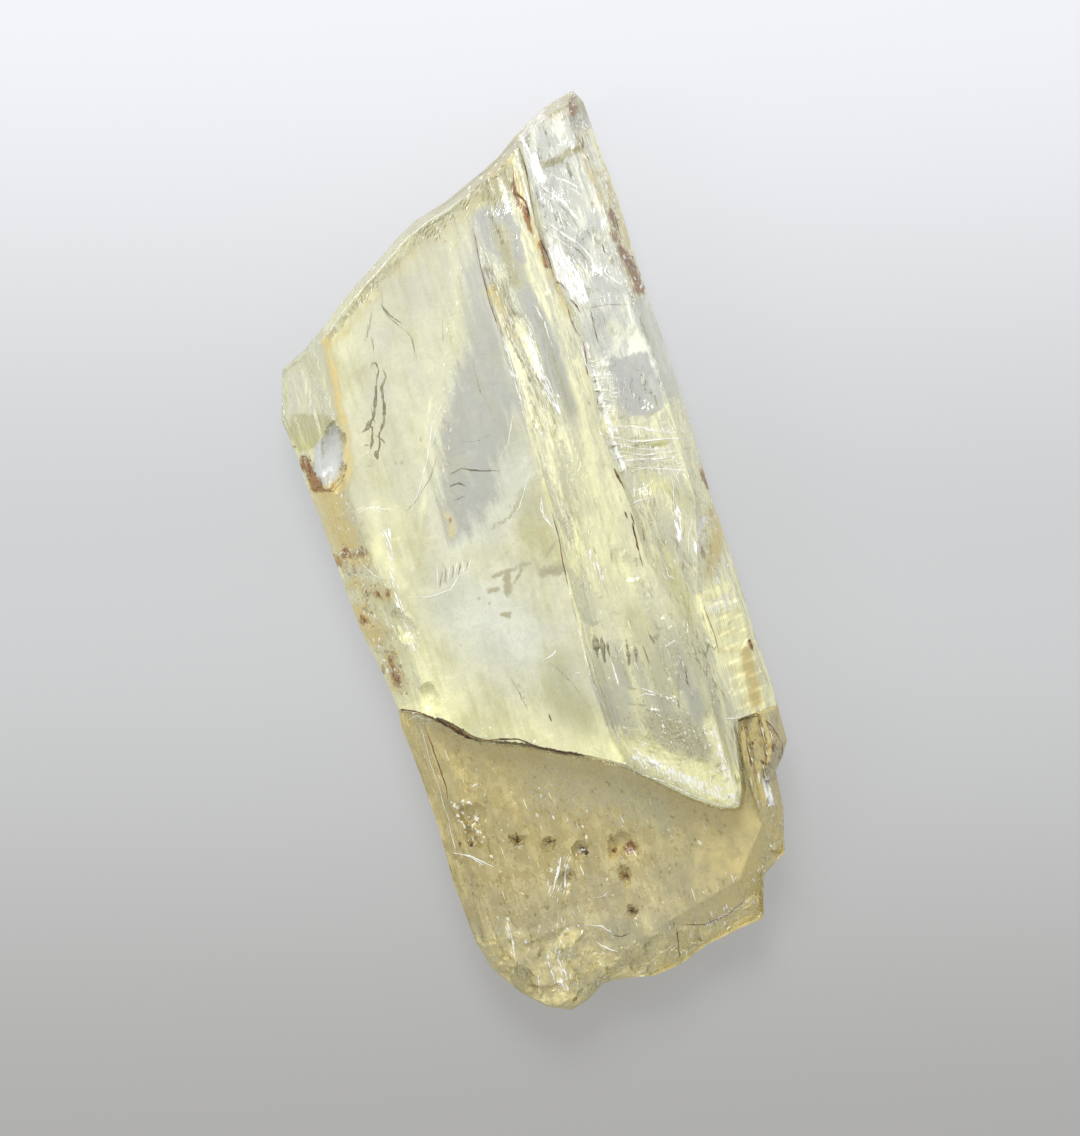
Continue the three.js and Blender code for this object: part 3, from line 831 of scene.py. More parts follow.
# Painted glints: white marks that stand in for light flashing off facets and films.
PAINTED_GLINT_PATHS = [
    ([(13.6, 29.1), (13.9, 27.5), (14.1, 25.9)], 0.3, 0.72),
    ([(13.5, -0.6), (12.5, -1.8), (12, -2.9)], 0.28, 0.85),
    ([(8.7, 7.8), (11.1, 6.9), (13.2, 6.4)], 0.2, 0.75), ([(8.2, 7), (10, 6), (11.6, 5.4)], 0.22, 0.75),
    ([(8.3, 5.6), (10.4, 4.8), (13.6, 4.1)], 0.2, 0.6), ([(3.2, -16.1), (6, -18.8), (9, -21.4)], 0.8, 0.68),
    ([(9.3, -16.2), (9.3, -21)], 0.45, 0.68), ([(9, 30.8), (9.2, 28.6)], 0.28, 0.8),
    ([(8.9, 26.2), (9.7, 24.6), (9.9, 23.4)], 0.25, 0.8), ([(11.2, 31.4), (12.4, 30.6)], 0.25, 0.6),
    ([(3.4, 18.4), (3.2, 14), (3.4, 9)], 0.5, 0.6), ([(4.9, 16.4), (5, 13.4), (5.4, 10.2)], 0.35, 0.85),
    ([(8.7, 14.4), (8.8, 12.4), (8.8, 9.6), (8.6, 7.4)], 0.45, 0.8), ([(8.6, 6.4), (8.7, 4.8)], 0.4, 0.9),
    ([(4.4, -0.6), (4.8, -2.6)], 0.5, 0.6), ([(11.6, 0.6), (11.2, -1.6)], 0.35, 0.8),
    ([(-9.6, 5.6), (-10.4, 1), (-10.2, -3.6)], 0.5, 0.6), ([(4.4, -29.9), (8.2, -29)], 0.25, 0.6)]
# Outline and strength of larger facets with a painted white highlight.
PAINTED_GLINT_AREAS = [
    ([(9, 29.2), (9.7, 29.3), (9.9, 27.1), (9.3, 26.8), (9, 27.6)], 1),
    ([(8.3, 22.4), (9, 22.2), (9.8, 20.8), (10.1, 19.4), (10.2, 17.6), (9.4, 17.3), (8.9, 18.4),
      (8.3, 19.8)], 0.9), ([(12.7, 23.2), (13.2, 23), (13.1, 22.1), (12.6, 22.4)], 0.9),
    ([(-8.1, -28.2), (-6.6, -28), (-6.8, -31.4), (-7.9, -31.7)], 0.55),
    ([(11.6, -20.5), (12.2, -20.6), (12, -22.9), (11.4, -22.8)], 0.9),
    ([(-10.3, -25.4), (-9.7, -25.3), (-10, -27.8), (-10.5, -27.9)], 0.6),
    ([(11.4, -6.8), (13.9, -6.3), (14, -7.8), (11.7, -8.2)], 0.55)]
# The block of parallel fibres at the right, the clear inside of the V, the block's browner part, the
# brown end under it (partly stain, partly the painted warm colour of skin seen through it from
# behind), and the stained band along the tip.
BLOCK = [
    (11.0, -6.0), (13.9, -5.6), (14.1, -10.0), (13.7, -15.5), (11.8, -15.8), (11.3, -11.0)]
CLEAR_V = [(4.4, -13.2), (8.4, -14.4), (8.4, -18.4), (6.8, -17.6), (4.8, -16.0)]
BLOCK_CORE = [(12.9, -10.6), (14.0, -10.7), (13.6, -15.4), (12.3, -15.6)]
BROWN_END = [
    (11.3, -16.1), (12.9, -16.0), (13.8, -17.6), (13.7, -19.5), (12.9, -20.3), (12.2, -19.8),
    (11.6, -21.4), (10.9, -21.0), (10.9, -18.0)]
TIP_BAND = [
    (-9.8, 20.9), (-4.6, 24.0), (0.6, 26.8), (4.0, 28.2), (6.2, 28.3), (7.4, 28.7), (8.3, 30.3),
    (10.0, 31.2), (13.4, 31.1), (14.4, 32.9), (13.0, 33.2), (10.0, 32.8), (6.0, 30.6),
    (0.6, 28.2), (-5.0, 25.0), (-10.6, 21.6)]

print(len(MILK_PATHS), "milky and", len(PAINTED_GLINT_PATHS), "bright paths")

# %% Stains
COOL_PATHS = [([(-4.4, -2.2), (-3.0, -5.0)], 3.4, 1.0), ([(-3.6, 4.2), (0.6, 7.4)], 2.8, 1.0)]
# The first yellow path, along the break, is painted glow of light reflected inside the stone.
YELLOW_PATHS = [
    ([(-12.6, -6.2), (-10.4, -7.6), (-8, -9.8), (-5.4, -11.6), (-2, -13.2), (0.7, -14.6), (3.3, -16.4),
      (6.4, -19), (8.9, -21.2)], 2.6, 1), ([(4.1, 4.4), (4.1, 1), (3.8, -2.6)], 1.1, 1),
    ([(-10.6, 4), (-10.2, -6)], 2.2, 0.6), ([(9, 14), (8.9, 8)], 0.9, 0.6), ([(8, 8.2), (13, 6)], 1.4, 0.4),
    ([(5, 6.4), (6, 2), (5.4, -3.4)], 2.2, 0.45), ([(12.6, -6), (12.8, -14.8)], 1.6, 0.8),
    ([(13.9, 8), (14, -2)], 0.9, 0.7), ([(-9, 20.6), (-4, 24.2), (2, 27.2), (9, 30.8)], 0.9, 0.5)]
AMBER_PATHS = [
    ([(-9.6, 20.8), (-9.8, 18.4), (-10.2, 15.5), (-10.4, 13.1), (-10.8, 11.5)], 0.55, 0.78),
    ([(-9.2, 20.1), (-7, 21.4), (-4.4, 23), (-1.6, 24.8), (1.6, 26), (4.4, 27)], 0.6, 0.5),
    ([(3.4, 19.8), (3.3, 18.4), (3.6, 16.6)], 0.35, 0.5),
    ([(-13.7, 10.2), (-12.8, 9.6), (-11.8, 9.9), (-11, 10.8)], 0.7, 0.9),
    ([(-13, 9.1), (-12.8, 7.1), (-12.8, 5.5)], 1.5, 0.95), ([(-13.6, 4.7), (-12, 4)], 0.9, 0.85),
    ([(-13.1, 2.5), (-11.1, 1)], 0.8, 0.85), ([(-13.4, 0.4), (-12.6, -1.8)], 1.1, 0.9),
    ([(-12.2, -3.6), (-12.3, -5.6)], 0.9, 0.9),
    ([(13, 29.6), (13, 27.3), (13.3, 25.2), (13.5, 20), (13.8, 16.6)], 0.35, 0.55),
    ([(14.2, 25.6), (14.1, 23.4), (14.3, 20.6)], 0.3, 0.7),
    ([(7.8, 28.4), (7.6, 25.4), (7.8, 21.6), (8.2, 18.8)], 0.45, 0.7), ([(8.1, 19.4), (8.3, 17)], 0.4, 0.7),
    ([(-5, 5.4), (-4.7, 4.7), (-5.1, 3.8)], 0.5, 0.62), ([(3.4, 20.4), (3.6, 18.4)], 0.6, 0.8),
    ([(3.7, 17.6), (4, 16.6)], 0.5, 0.5), ([(-11.2, -9.4), (-11.4, -15)], 0.4, 0.7),
    ([(-10.9, -9.6), (-9.4, -10.9)], 0.9, 0.6), ([(-0.6, -22.4), (0.5, -22.6)], 0.9, 0.8),
    ([(-0.3, -24.5), (-0.6, -27.1)], 0.6, 0.6), ([(8.4, -24.6), (7, -27.8)], 1.2, 0.6),
    ([(6.9, -25.2), (8.2, -26.5)], 0.8, 0.8), ([(14.4, 3), (14.5, 1.3)], 0.3, 0.7),
    ([(14.3, -0.4), (14.2, -2.1), (13.3, -3.9)], 0.6, 0.75),
    ([(14.1, -0.4), (13.8, -2), (13.3, -3.4), (12.5, -4.7)], 0.7, 0.68), ([(1, 2), (1.9, 2.2)], 0.35, 0.5)]
# Grey-tan marks: the tip, a wedge between the ridge's lines, spots like lichen on the plate.
TAN_PATHS = [
    ([(4.2, 28.6), (5.5, 27.4), (6.8, 28)], 1.1, 1),
    ([(1.3, 27.6), (4.2, 28.7), (6.9, 29.7), (8.5, 30.5)], 0.5, 0.85),
    ([(5.5, 24.6), (5.2, 22.5), (5.4, 20.4)], 0.6, 0.62),
    ([(9.7, 28.2), (10.9, 28.2), (11.9, 28.5), (12.8, 28.6)], 0.32, 0.95),
    ([(11.6, 31.9), (12.9, 32.4), (14, 32.1), (14.2, 31)], 0.5, 0.95),
    ([(-4, -16.6), (0, -18.4), (3, -20.4)], 2.6, 0.5), ([(5.4, -14.4), (7.4, -16.4)], 1.8, 0.45),
    ([(-9.4, 20.8), (-7, 22.3), (-4.5, 23.7), (-1.7, 25.1), (0.9, 26.3), (3.6, 27.2), (5.5, 27.7)],
      0.36, 0.6), ([(-2, -0.3), (-2.3, -1.6)], 0.3, 1), ([(-3.7, -1), (-2.9, -1.1)], 0.16, 0.9),
    ([(-3.2, -3), (-2.7, -3.2)], 0.2, 1), ([(-3, -0.1), (-1.9, 0), (-0.1, 0)], 0.18, 0.8),
    ([(-4.5, -1.3)], 0.14, 0.8), ([(-3.9, -2)], 0.12, 0.8), ([(-1.7, -1.1), (-0.7, -0.2)], 0.12, 0.8),
    ([(0.6, -0.9), (1.5, -1.1), (2.1, -1.1)], 0.34, 1), ([(1.2, 0.2), (2.2, 0.9)], 0.14, 0.8),
    ([(-1.9, 3.4), (-0.3, 3.9), (1.1, 5.4)], 0.25, 0.5), ([(-3.7, -8.3), (-3.6, -9.5)], 0.2, 0.4)]
# Grey-olive clearer spots: feathers on the ridge, the lower plate, the band at the tip.
OLIVE_PATHS = [
    ([(5, 24.8), (5.4, 22), (5.2, 20.6)], 0.7, 0.8), ([(2.1, 5.8), (1.6, 5.2)], 0.6, 0.8),
    ([(1.4, 4.6), (0.6, 2.6), (1.4, 0.6)], 1.5, 0.85), ([(0.6, -0.9), (1.4, -0.8), (2, -0.6)], 0.2, 1),
    ([(0.8, 1.3), (1.5, 0.8)], 0.15, 0.8), ([(0.9, 12.4), (0.7, 8.6)], 1, 0.5),
    ([(-0.5, -7.5), (-1.4, -9.6), (0.4, -12)], 2, 0.75), ([(-4.6, 22.6), (1.8, 25.4)], 1.6, 0.4),
    ([(-9, 8.6), (-7.4, 3)], 1.6, 0.3), ([(1.2, 21), (0.2, 17)], 1.3, 0.45),
    ([(6.2, -6), (6.8, -12.6)], 1.4, 0.6), ([(4.8, -13.4), (7, -15)], 0.8, 0.6),
    ([(10.2, -1.4), (9.4, -12.4)], 1.2, 0.5), ([(10.4, 3.4), (12.6, 1)], 1.2, 0.5),
    ([(9.2, 5.9), (12.4, 5.6)], 0.35, 0.8), ([(6.2, 18), (6.4, 10)], 0.5, 0.7),
    ([(5, -24), (2, -18.4)], 2.2, 0.4), ([(-4.6, 4.8), (-3, 8)], 2.2, 0.5),
    ([(-3, 4.4), (-0.4, 6.6), (1.6, 9.6)], 2.2, 0.6), ([(-7.2, -5), (-2.4, -9.4)], 2, 0.25),
    ([(11.2, 15), (13.2, 14.2)], 0.8, 0.5)]
RUST_PATHS = [
    ([(-13.9, 12.6), (-13.7, 11.4), (-13.5, 10.3)], 0.42, 0.9), ([(-14.3, 13.7)], 0.2, 0.8),
    ([(-13.2, 10), (-12.4, 9.7), (-11.8, 10.2), (-11.3, 11.2)], 0.2, 0.5),
    ([(-13.7, 5), (-11.8, 4.6)], 0.5, 0.5), ([(-13.7, 4.2), (-12.9, 3.5)], 0.6, 0.5),
    ([(-13.4, -0.2), (-12.9, -0.6)], 0.4, 0.6), ([(-12.1, -3.5), (-12.2, -4.3), (-12.3, -5.6)], 0.4, 0.6),
    ([(-14, 10.3), (-12.8, 9.8), (-11.5, 10.5)], 0.18, 0.5), ([(-13, 2), (-11, 1.1)], 0.5, 0.5),
    ([(-12.9, -3.9), (-13, -4.6)], 0.14, 0.5),
    ([(7.3, 27.6), (7.2, 26.1), (7.6, 25.4), (7.5, 24.1), (7.6, 23.6)], 0.2, 0.85),
    ([(8, 22.7), (8, 21.8), (7.95, 20.9)], 0.28, 1), ([(13.45, 32.3), (13.25, 31.2)], 0.3, 0.95),
    ([(12.9, 29.8), (13.1, 28.6)], 0.16, 0.7), ([(13.7, 23.4), (13.6, 22.2), (13.4, 21.2)], 0.26, 0.75),
    ([(13.5, 20.4), (13.9, 19.2), (14, 18), (14, 17.1)], 0.42, 0.95), ([(-0.5, -22.4)], 0.32, 0.8),
    ([(0.5, -22.6)], 0.5, 1), ([(-0.3, -24.5)], 0.38, 0.8), ([(-0.6, -27.1)], 0.3, 0.75),
    ([(-4.9, 4.9)], 0.3, 0.6), ([(14.3, 2.7), (14.3, 1.9), (14.5, 1.3)], 0.2, 0.85),
    ([(12.5, -2.7), (12.5, -3.7)], 0.16, 0.6), ([(14.1, -0.3), (14, -1.2)], 0.14, 0.5),
    ([(13.9, -10.5), (13.9, -11.3)], 0.1, 0.7)]
# Painted shadow in the undercut along the crest of the break.
BREAK_SHADOW_PATHS = [
    ([(-12.6, -7.55), (-11.4, -8.2), (-10.2, -9.15)], 0.12, 0.75),
    ([(-10.2, -9.15), (-9.3, -9.95), (-8.3, -11.15), (-7.6, -11.65)], 0.26, 1),
    ([(-7.6, -11.65), (-6, -12.25), (-4.8, -12.75)], 0.13, 0.9),
    ([(-4.8, -12.75), (-3.4, -13.55), (-2.2, -14.2), (-0.7, -14.95)], 0.17, 0.95)]
DARK_SPOTS = [
    ([(-11.4, -18.4)], 0.16, 0.9), ([(-10.7, -18.8)], 0.16, 0.9), ([(-7.3, -19.7)], 0.2, 0.9),
    ([(-5, -20.3)], 0.2, 0.8), ([(-2.9, -21.5), (-2.6, -22)], 0.2, 0.9)]


print("stained paths:", sum(map(len, (YELLOW_PATHS, AMBER_PATHS, TAN_PATHS, OLIVE_PATHS, RUST_PATHS))))


# %% Zones of the front
def zones(x, y):
    """How far each point belongs to each part of the front, 0 to 1, and shared noise."""
    z = SimpleNamespace()
    z.upper = smooth(y, break_foot(x), break_head(x))
    z.shelf = 1 - z.upper
    z.plate = z.upper * (1 - past(x, ridge_foot(y), -0.15, 0.05))
    z.wall = z.upper * past(x, ridge_foot(y), 0, 0.2) * (1 - past(x, ridge_head(y), -0.2, 0.2))
    z.strip = z.upper * past(x, ridge_side(y), -0.1, 0.3)
    z.clear_strip = z.strip * smooth(y, 7, 9)
    z.top = np.clip(z.upper - z.plate - z.wall - z.strip, 0, 1)
    across = (x - ridge_head(y)) / (ridge_edge(y) - ridge_head(y))
    z.glassy_face = z.top * (1 - smooth(across, 0.35, 0.55)) * smooth(y, 7.5, 10.5)
    z.left = 1 - past(x, left_crest(y), -0.3, 0.3)
    z.right = past(x, right_crest(y), -0.3, 0.3)
    z.low_ridge = (z.wall + z.top) * (1 - smooth(y, -9.5, -6.5))
    z.low_strip = z.strip * (1 - smooth(y, 2, 5)) * (1 - z.right)
    z.inner_v = within(x, y, CLEAR_V, -0.2, 0.5)
    z.v_arms = z.low_ridge * (1 - z.inner_v) * (1 - smooth(y, -17.0, -14.5))
    z.columns = z.shelf * smooth(x, 9.6, 11)
    z.broken = smooth(END_LINE(x) - y, -0.2, 0.5)
    z.to_corner = x - 0.35 * (y + 24)      # grows towards the lower right corner of the shelf
    z.block = within(x, y, BLOCK, -0.15, 0.15)
    z.core = within(x, y, BLOCK_CORE, -0.4, 0.6)
    z.brown_end = within(x, y, BROWN_END, -0.1, 0.15)
    z.tip_band = within(x, y, TIP_BAND, -0.3, 0.4) * (0.35 + 0.65 * smooth(x, 1, 5))
    z.patch = within(x, y, OLIVE_PATCH, -0.12, 0.12)
    z.rim = 1 - smooth(edge_room(x, y), 0.1, 0.8)
    z.crust = (z.upper * (1 - smooth(right_edge(y) - x, 0.9, 1.3))
               * smooth(y, 16.3, 16.9) * (1 - smooth(y, 29.6, 30.2)))
    z.cloud = layered(x * 0.25, y * 0.18, 101, 5)
    z.streak = layered(x * 1.1, y * 0.09, 102, 4)
    z.mottle = layered(x * 0.8, y * 0.6, 103, 4)
    return z


front_zones = zones(gx, gy)
print("parts of the front:", ", ".join(sorted(vars(front_zones))))


# %% Milky, crumpled and bright places
# How crumpled the surface is in each part, and how far its grain runs along the blade.
CRUMPLED = {"wall": 0.55, "low_strip": 0.45, "clear_strip": 0.16, "broken": 0.5, "shelf": 0.12,
            "columns": 0.8, "left": 0.35, "right": 0.4, "plate": 0.05}
GRAIN_ALONG = {"wall": 1.0, "strip": 1.0, "left": 0.7, "right": 0.6, "shelf": 0.3}


def weighed(z, weights):
    """The sum of weight * zone."""
    return sum(weight * getattr(z, part) for part, weight in weights.items())


def milk_mask(x, y, z):
    """How milky: clouds on the plate, streaks on the ridge, spots on the shelf, and milky paths.

    Next to the break the added milk is painted glow of light reflected inside the stone.
    """
    clouds, streaks, spots = z.cloud - 0.5, z.streak - 0.5, z.mottle - 0.5
    # Painted glow: the plate grows milkier towards the break, for light reflected inside the stone.
    above_break = np.clip((y - break_head(x)) / 7.0, 0, 1)
    milk = z.plate * (0.50 + 0.6 * clouds + 0.3 * (1 - above_break) ** 2 + 0.15 * smooth(-x, 6.5, 9))
    milk += z.wall * (0.56 + 0.6 * streaks) + z.top * (0.52 + 0.6 * streaks)
    milk *= (1 - 0.72 * z.glassy_face) * (1 - 0.42 * z.low_ridge)
    milk += z.clear_strip * (1 - z.right) * (0.26 + 0.3 * smooth(z.mottle, 0.45, 0.7))
    milk += (z.strip - z.clear_strip) * (0.42 + 0.6 * streaks + 0.05 * smooth(y, 3, 5))
    milk += z.shelf * (0.46 + 0.7 * spots + 0.5 * streaks) * (1 - 0.4 * z.columns)
    milk += 0.22 * z.right * z.upper + 0.15 * z.broken * z.mottle
    milk *= 1 + 1.5 * (wall_chips(x, y)[1] - 0.5) * (z.wall + 0.3 * z.top + 0.8 * z.low_ridge)
    milk *= 1 + 1.2 * (end_chips(x, y)[1] - 0.5) * z.broken
    pale_chips = smooth(strip_chips(x * 1.6, y * 1.3)[1], 0.72, 0.8)
    milk += 0.5 * pale_chips * z.clear_strip * (1 - z.right)
    milk = np.maximum(milk, glow(x, y, MILK_PATHS) * (0.8 + 0.4 * z.mottle)) * (1 - 0.6 * z.inner_v)
    milk = np.maximum.reduce([
        milk, z.block, 0.75 * z.brown_end, 0.75 * z.tip_band, 0.75 * z.patch, 0.3 * z.rim,
        0.85 * z.crust * (0.6 + 0.7 * z.mottle)])
    return np.clip(milk * (1 - 0.45 * z.left * z.upper * smooth(y, 13.5, 15)), 0, 1)


def painted_glint_mask(x, y, z):
    """Painted glints, white where films and facets would flash: bright paths and facets, streaks on the low
    ridge, the strip.
    """
    areas = [strength * within(x, y, points, -0.15, 0.15) for points, strength in PAINTED_GLINT_AREAS]
    spread = (0.25 * z.low_ridge * smooth(z.streak, 0.5, 0.7)
              + z.clear_strip * (0.1 + 0.25 * smooth(y, 15, 17)))
    return np.maximum.reduce([glow(x, y, PAINTED_GLINT_PATHS), spread] + areas)


def crumple_mask(x, y, z):
    """How strongly the fine bumps show; the block and the bevel's window stay smooth."""
    crumple = (weighed(z, CRUMPLED) + 0.9 * z.low_ridge * (1 - 0.6 * z.v_arms)
               + 0.25 * z.top * (0.4 + 0.6 * smooth(y, 8, 11)))
    crumple *= 1 - 0.75 * within(x, y, BLOCK, -0.3, 0.1)
    return np.clip(crumple * (1 - within(x, y, BEVEL_WINDOW, -0.3, 0.0)), 0, 1)


print("milk on average", milk_mask(gx, gy, front_zones).mean().round(2))


# %% Tinted places
def yellow_mask(x, y, z):
    """Yellow: a band above the break, painted glow of light reflected inside the stone; the ridge below its
    glassy face; the shelf's corner.
    """
    yellow = 0.9 * glow(x, y, YELLOW_PATHS)
    yellow += 0.5 * (z.top + z.wall) * (1 - z.glassy_face) * (1 - 0.6 * smooth(y, 11, 15))
    yellow += z.plate * (0.12 + 0.5 * (z.mottle - 0.5)) + 0.5 * z.low_strip + 0.1 * z.left * z.upper
    yellow += 0.75 * z.broken + 0.5 * z.patch + 0.35 * z.block
    return np.clip(yellow + 0.65 * z.shelf * smooth(z.to_corner, 0, 9), 0, 1)


def olive_mask(x, y, z, plate_depth):
    """Grey olive: marked spots, the window's inside, clouds on the plate, the glassy face."""
    clouds = z.plate * (0.33 + 0.8 * (layered(x * 0.5, y * 0.4, 104, 4) - 0.5))
    return np.clip(np.maximum.reduce([
        z.patch, glow(x, y, OLIVE_PATHS), 0.34 * smooth(plate_depth, 0, 0.5), clouds,
        0.35 * z.glassy_face + 0.4 * z.low_ridge + 0.2 * z.inner_v]), 0, 1)


def amber_mask(x, y, z):
    """Amber: marked paths, the block's core and soft bands across it, the crust, the shelf."""
    bands = 0.5 + 0.5 * np.sin(4.6 * (y + 0.2 * x) + 4 * layered(x * 0.3, y * 0.5, 106, 3))
    specks = smooth(layered(x * 3, y * 1.6, 105, 3), 0.5, 0.6)
    return np.maximum.reduce([
        glow(x, y, AMBER_PATHS), z.core, 0.45 * z.block * bands, z.crust * (0.1 + 0.5 * specks),
        0.45 * z.brown_end, 0.5 * z.broken,
        z.shelf * (0.35 + 0.6 * z.mottle) * smooth(z.to_corner, -2, 9)])


def break_shadow_and_spots_mask(x, y):
    """Nearly black: spots on the shelf, and painted shadow along the crest of the break, an uneven way down
    its wall.
    """
    down_wall = (break_head(x) - y) / (break_head(x) - break_foot(x))
    reach = 0.15 + 1.1 * layered(x * 1.3, y * 0.1, 108, 4)
    crest = glow(x, y, BREAK_SHADOW_PATHS) * (1 - past(down_wall, reach, 0, 0.12))
    return np.maximum(glow(x, y, DARK_SPOTS), crest)


print("the strongest amber is", amber_mask(gx, gy, front_zones).max().round(2))

# %% Masks at every vertex
def masks(x, y, z):
    """Masks by name, from 0 to 1; those of the windows are distances in mm, positive inside."""
    plate_depth = outline_depth(x, y, PLATE_WINDOW)
    return {
        "milk": milk_mask(x, y, z),
        "window": np.maximum.reduce([outline_depth(x, y, points) for points in WINDOWS]),
        "plate_window": plate_depth,
        "bevel_window": outline_depth(x, y, BEVEL_WINDOW),
        "cool": np.clip(z.clear_strip * smooth(y, 8, 10) * (0.75 - 0.4 * z.mottle) * (1 - z.crust)
                        + 0.5 * z.plate * glow(x, y, COOL_PATHS), 0, 1),
        "yellow": yellow_mask(x, y, z),
        "amber": amber_mask(x, y, z),
        "tan": np.maximum(glow(x, y, TAN_PATHS), 0.35 * z.brown_end),
        "rust": np.maximum(glow(x, y, RUST_PATHS), 0.2 * z.brown_end),
        "dark": break_shadow_and_spots_mask(x, y),
        "olive": olive_mask(x, y, z, plate_depth),
        "shelf": np.clip(z.shelf * (1 - 0.3 * z.broken) * (1 - 0.4 * z.columns)
                         * (1 - 0.35 * smooth(-y, 19, 29)) + 0.95 * z.tip_band, 0, 1),
        "painted_glint": painted_glint_mask(x, y, z),
        "crumple": crumple_mask(x, y, z),
        "along": np.clip(weighed(z, GRAIN_ALONG) + z.top * (0.2 + 0.8 * smooth(y, 9, 13)), 0, 1)}


front_masks = masks(gx, gy, front_zones)
for name, values in front_masks.items():
    print(f"{name:12s} average {values.mean():.2f}, most {values.max():.2f}")

# %% [markdown]
# ## The body as one closed mesh
#
# The front grid and the back grid share the girdle's vertices. Faces of the front run
# counterclockwise seen from above and those of the back the other way, so that all of them point
# out of the stone.
#
# Outlines, lines and marks are all given where the camera sees them. What stands higher looks
# further from the middle than it is, so each mesh's points move to their true places at the end.

# %% Build the body mesh
def quads(index):
    """Faces of a grid of vertex numbers, four corners each, in the grid's own turning sense."""
    corners = (index[:-1, :-1], index[:-1, 1:], index[1:, 1:], index[1:, :-1])
    return np.stack(corners, -1).reshape(-1, 4)


def in_place(points):
    """True places of points given as seen: x and y come nearer to the middle of the picture, by
    (camera height - z) over (camera height - girdle height). Nothing moves at or below the girdle."""
    heights = np.maximum(points[:, 2:], GIRDLE_Z)
    nearer = (camera_height - heights) / (camera_height - GIRDLE_Z)
    return np.hstack([LOOK_AT + (points[:, :2] - LOOK_AT) * nearer, points[:, 2:]])


def mesh_object(name, points, faces):
    """A new object from an array of points in millimetres, as seen, and a list of faces."""
    mesh = bpy.data.meshes.new(name)
    mesh.from_pydata((in_place(points) * MM).tolist(), [], faces)
    mesh.validate()
    made = bpy.data.objects.new(name, mesh)
    bpy.context.scene.collection.objects.link(made)
    return made


def store(made, name, values):
    """Keeps one number per vertex on the mesh, under a name that a shader can read."""
    attribute = made.data.attributes.new(name, "FLOAT", "POINT")
    attribute.data.foreach_set("value", np.ascontiguousarray(values, np.float32))


# How much of each mask also shows on the hidden back face.
BEHIND = {"milk": 0.25, "shelf": 0.6, "amber": 0.3, "yellow": 0.5, "crumple": 0.15, "along": 1.0}
front_index = np.arange(gx.size).reshape(gx.shape)
inner = ~border
back_index = front_index.copy()
back_index[inner] = gx.size + np.arange(inner.sum())
body_points = np.concatenate([
    np.stack([gx, gy, front_z], -1).reshape(-1, 3),
    np.stack([gx[inner], gy[inner], back_z[inner]], -1)])
body_faces = np.concatenate([quads(front_index), quads(back_index)[:, ::-1]])
body = mesh_object("crystal_body", body_points, body_faces.tolist())
for name, values in front_masks.items():
    behind = values[inner] * (1.0 if "window" in name else BEHIND.get(name, 0.0))
    store(body, name, np.concatenate([values.ravel(), behind]))
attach(body, "root")
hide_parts(NODE)
print("body has", len(body.data.polygons), "faces on", len(body_points), "points")

# %% [markdown]
# ## Grain and ragged borders
#
# The two effects that several materials need are node groups: grain stretched along the blade, and
# the ragged border of a mask.

# %% Node groups
def group(name, inputs, outputs):
    """An empty node group with named float or vector sockets: its tree, entry and exit nodes."""
    tree = bpy.data.node_groups.new(name, "ShaderNodeTree")
    for label, value in inputs.items():
        kind = "NodeSocketVector" if value is None else "NodeSocketFloat"
        made = tree.interface.new_socket(label, in_out="INPUT", socket_type=kind)
        if value is not None:
            made.default_value = value
    for label in outputs:
        tree.interface.new_socket(label, in_out="OUTPUT", socket_type="NodeSocketFloat")
    return tree, tree.nodes.new("NodeGroupInput"), tree.nodes.new("NodeGroupOutput")


def grain_group():
    """Noise of a given size in mm, stretched along the blade: coarse and fine, 0 to 1."""
    tree, entry, leave = group("grain", {"Place": None, "Size": 0.5, "Stretch": 1.0},
                               ["Coarse", "Fine"])
    per_metre = calc("DIVIDE", 1 / MM, entry.outputs["Size"])
    slow = calc("DIVIDE", per_metre, entry.outputs["Stretch"])
    scale = add(tree, "ShaderNodeCombineXYZ", {"X": per_metre, "Y": slow, "Z": per_metre}).outputs[0]
    place = add(tree, "ShaderNodeVectorMath", {0: entry.outputs["Place"], 1: scale},
                operation="MULTIPLY").outputs[0]
    for label, size, detail in (("Coarse", 1.0, 3.0), ("Fine", 4.0, 2.0)):
        noise_node = add(tree, "ShaderNodeTexNoise", {"Vector": place, "Scale": size, "Detail": detail})
        tree.links.new(noise_node.outputs["Fac"], leave.inputs[label])
    return tree


def ragged_group():
    """A mask whose border is broken up by grain: smooth step of mask + (grain - 0.5) * rough."""
    tree, entry, leave = group(
        "ragged", {"Mask": 0.0, "Grain": 0.5, "Rough": 0.5, "Low": 0.3, "High": 0.6}, ["Mask"])
    at = entry.outputs
    push = calc("MULTIPLY_ADD", calc("SUBTRACT", at["Grain"], 0.5), at["Rough"], at["Mask"])
    step = add(tree, "ShaderNodeMapRange",
               {"Value": push, "From Min": at["Low"], "From Max": at["High"]},
               interpolation_type="SMOOTHSTEP")
    tree.links.new(step.outputs["Result"], leave.inputs["Mask"])
    return tree


GRAIN, RAGGED = grain_group(), ragged_group()


def grain(tree, place, size, stretch):
    """The grain group in a material; returns its coarse and fine outputs."""
    node = add(tree, "ShaderNodeGroup", {"Place": place, "Size": size, "Stretch": stretch},
               node_tree=GRAIN)
    return node.outputs["Coarse"], node.outputs["Fine"]


def ragged(tree, *values):
    """The ragged group in a material, its inputs in order; returns the broken-up mask."""
    labels = ("Mask", "Grain", "Rough", "Low", "High")
    return add(tree, "ShaderNodeGroup", dict(zip(labels, values)), node_tree=RAGGED).outputs["Mask"]


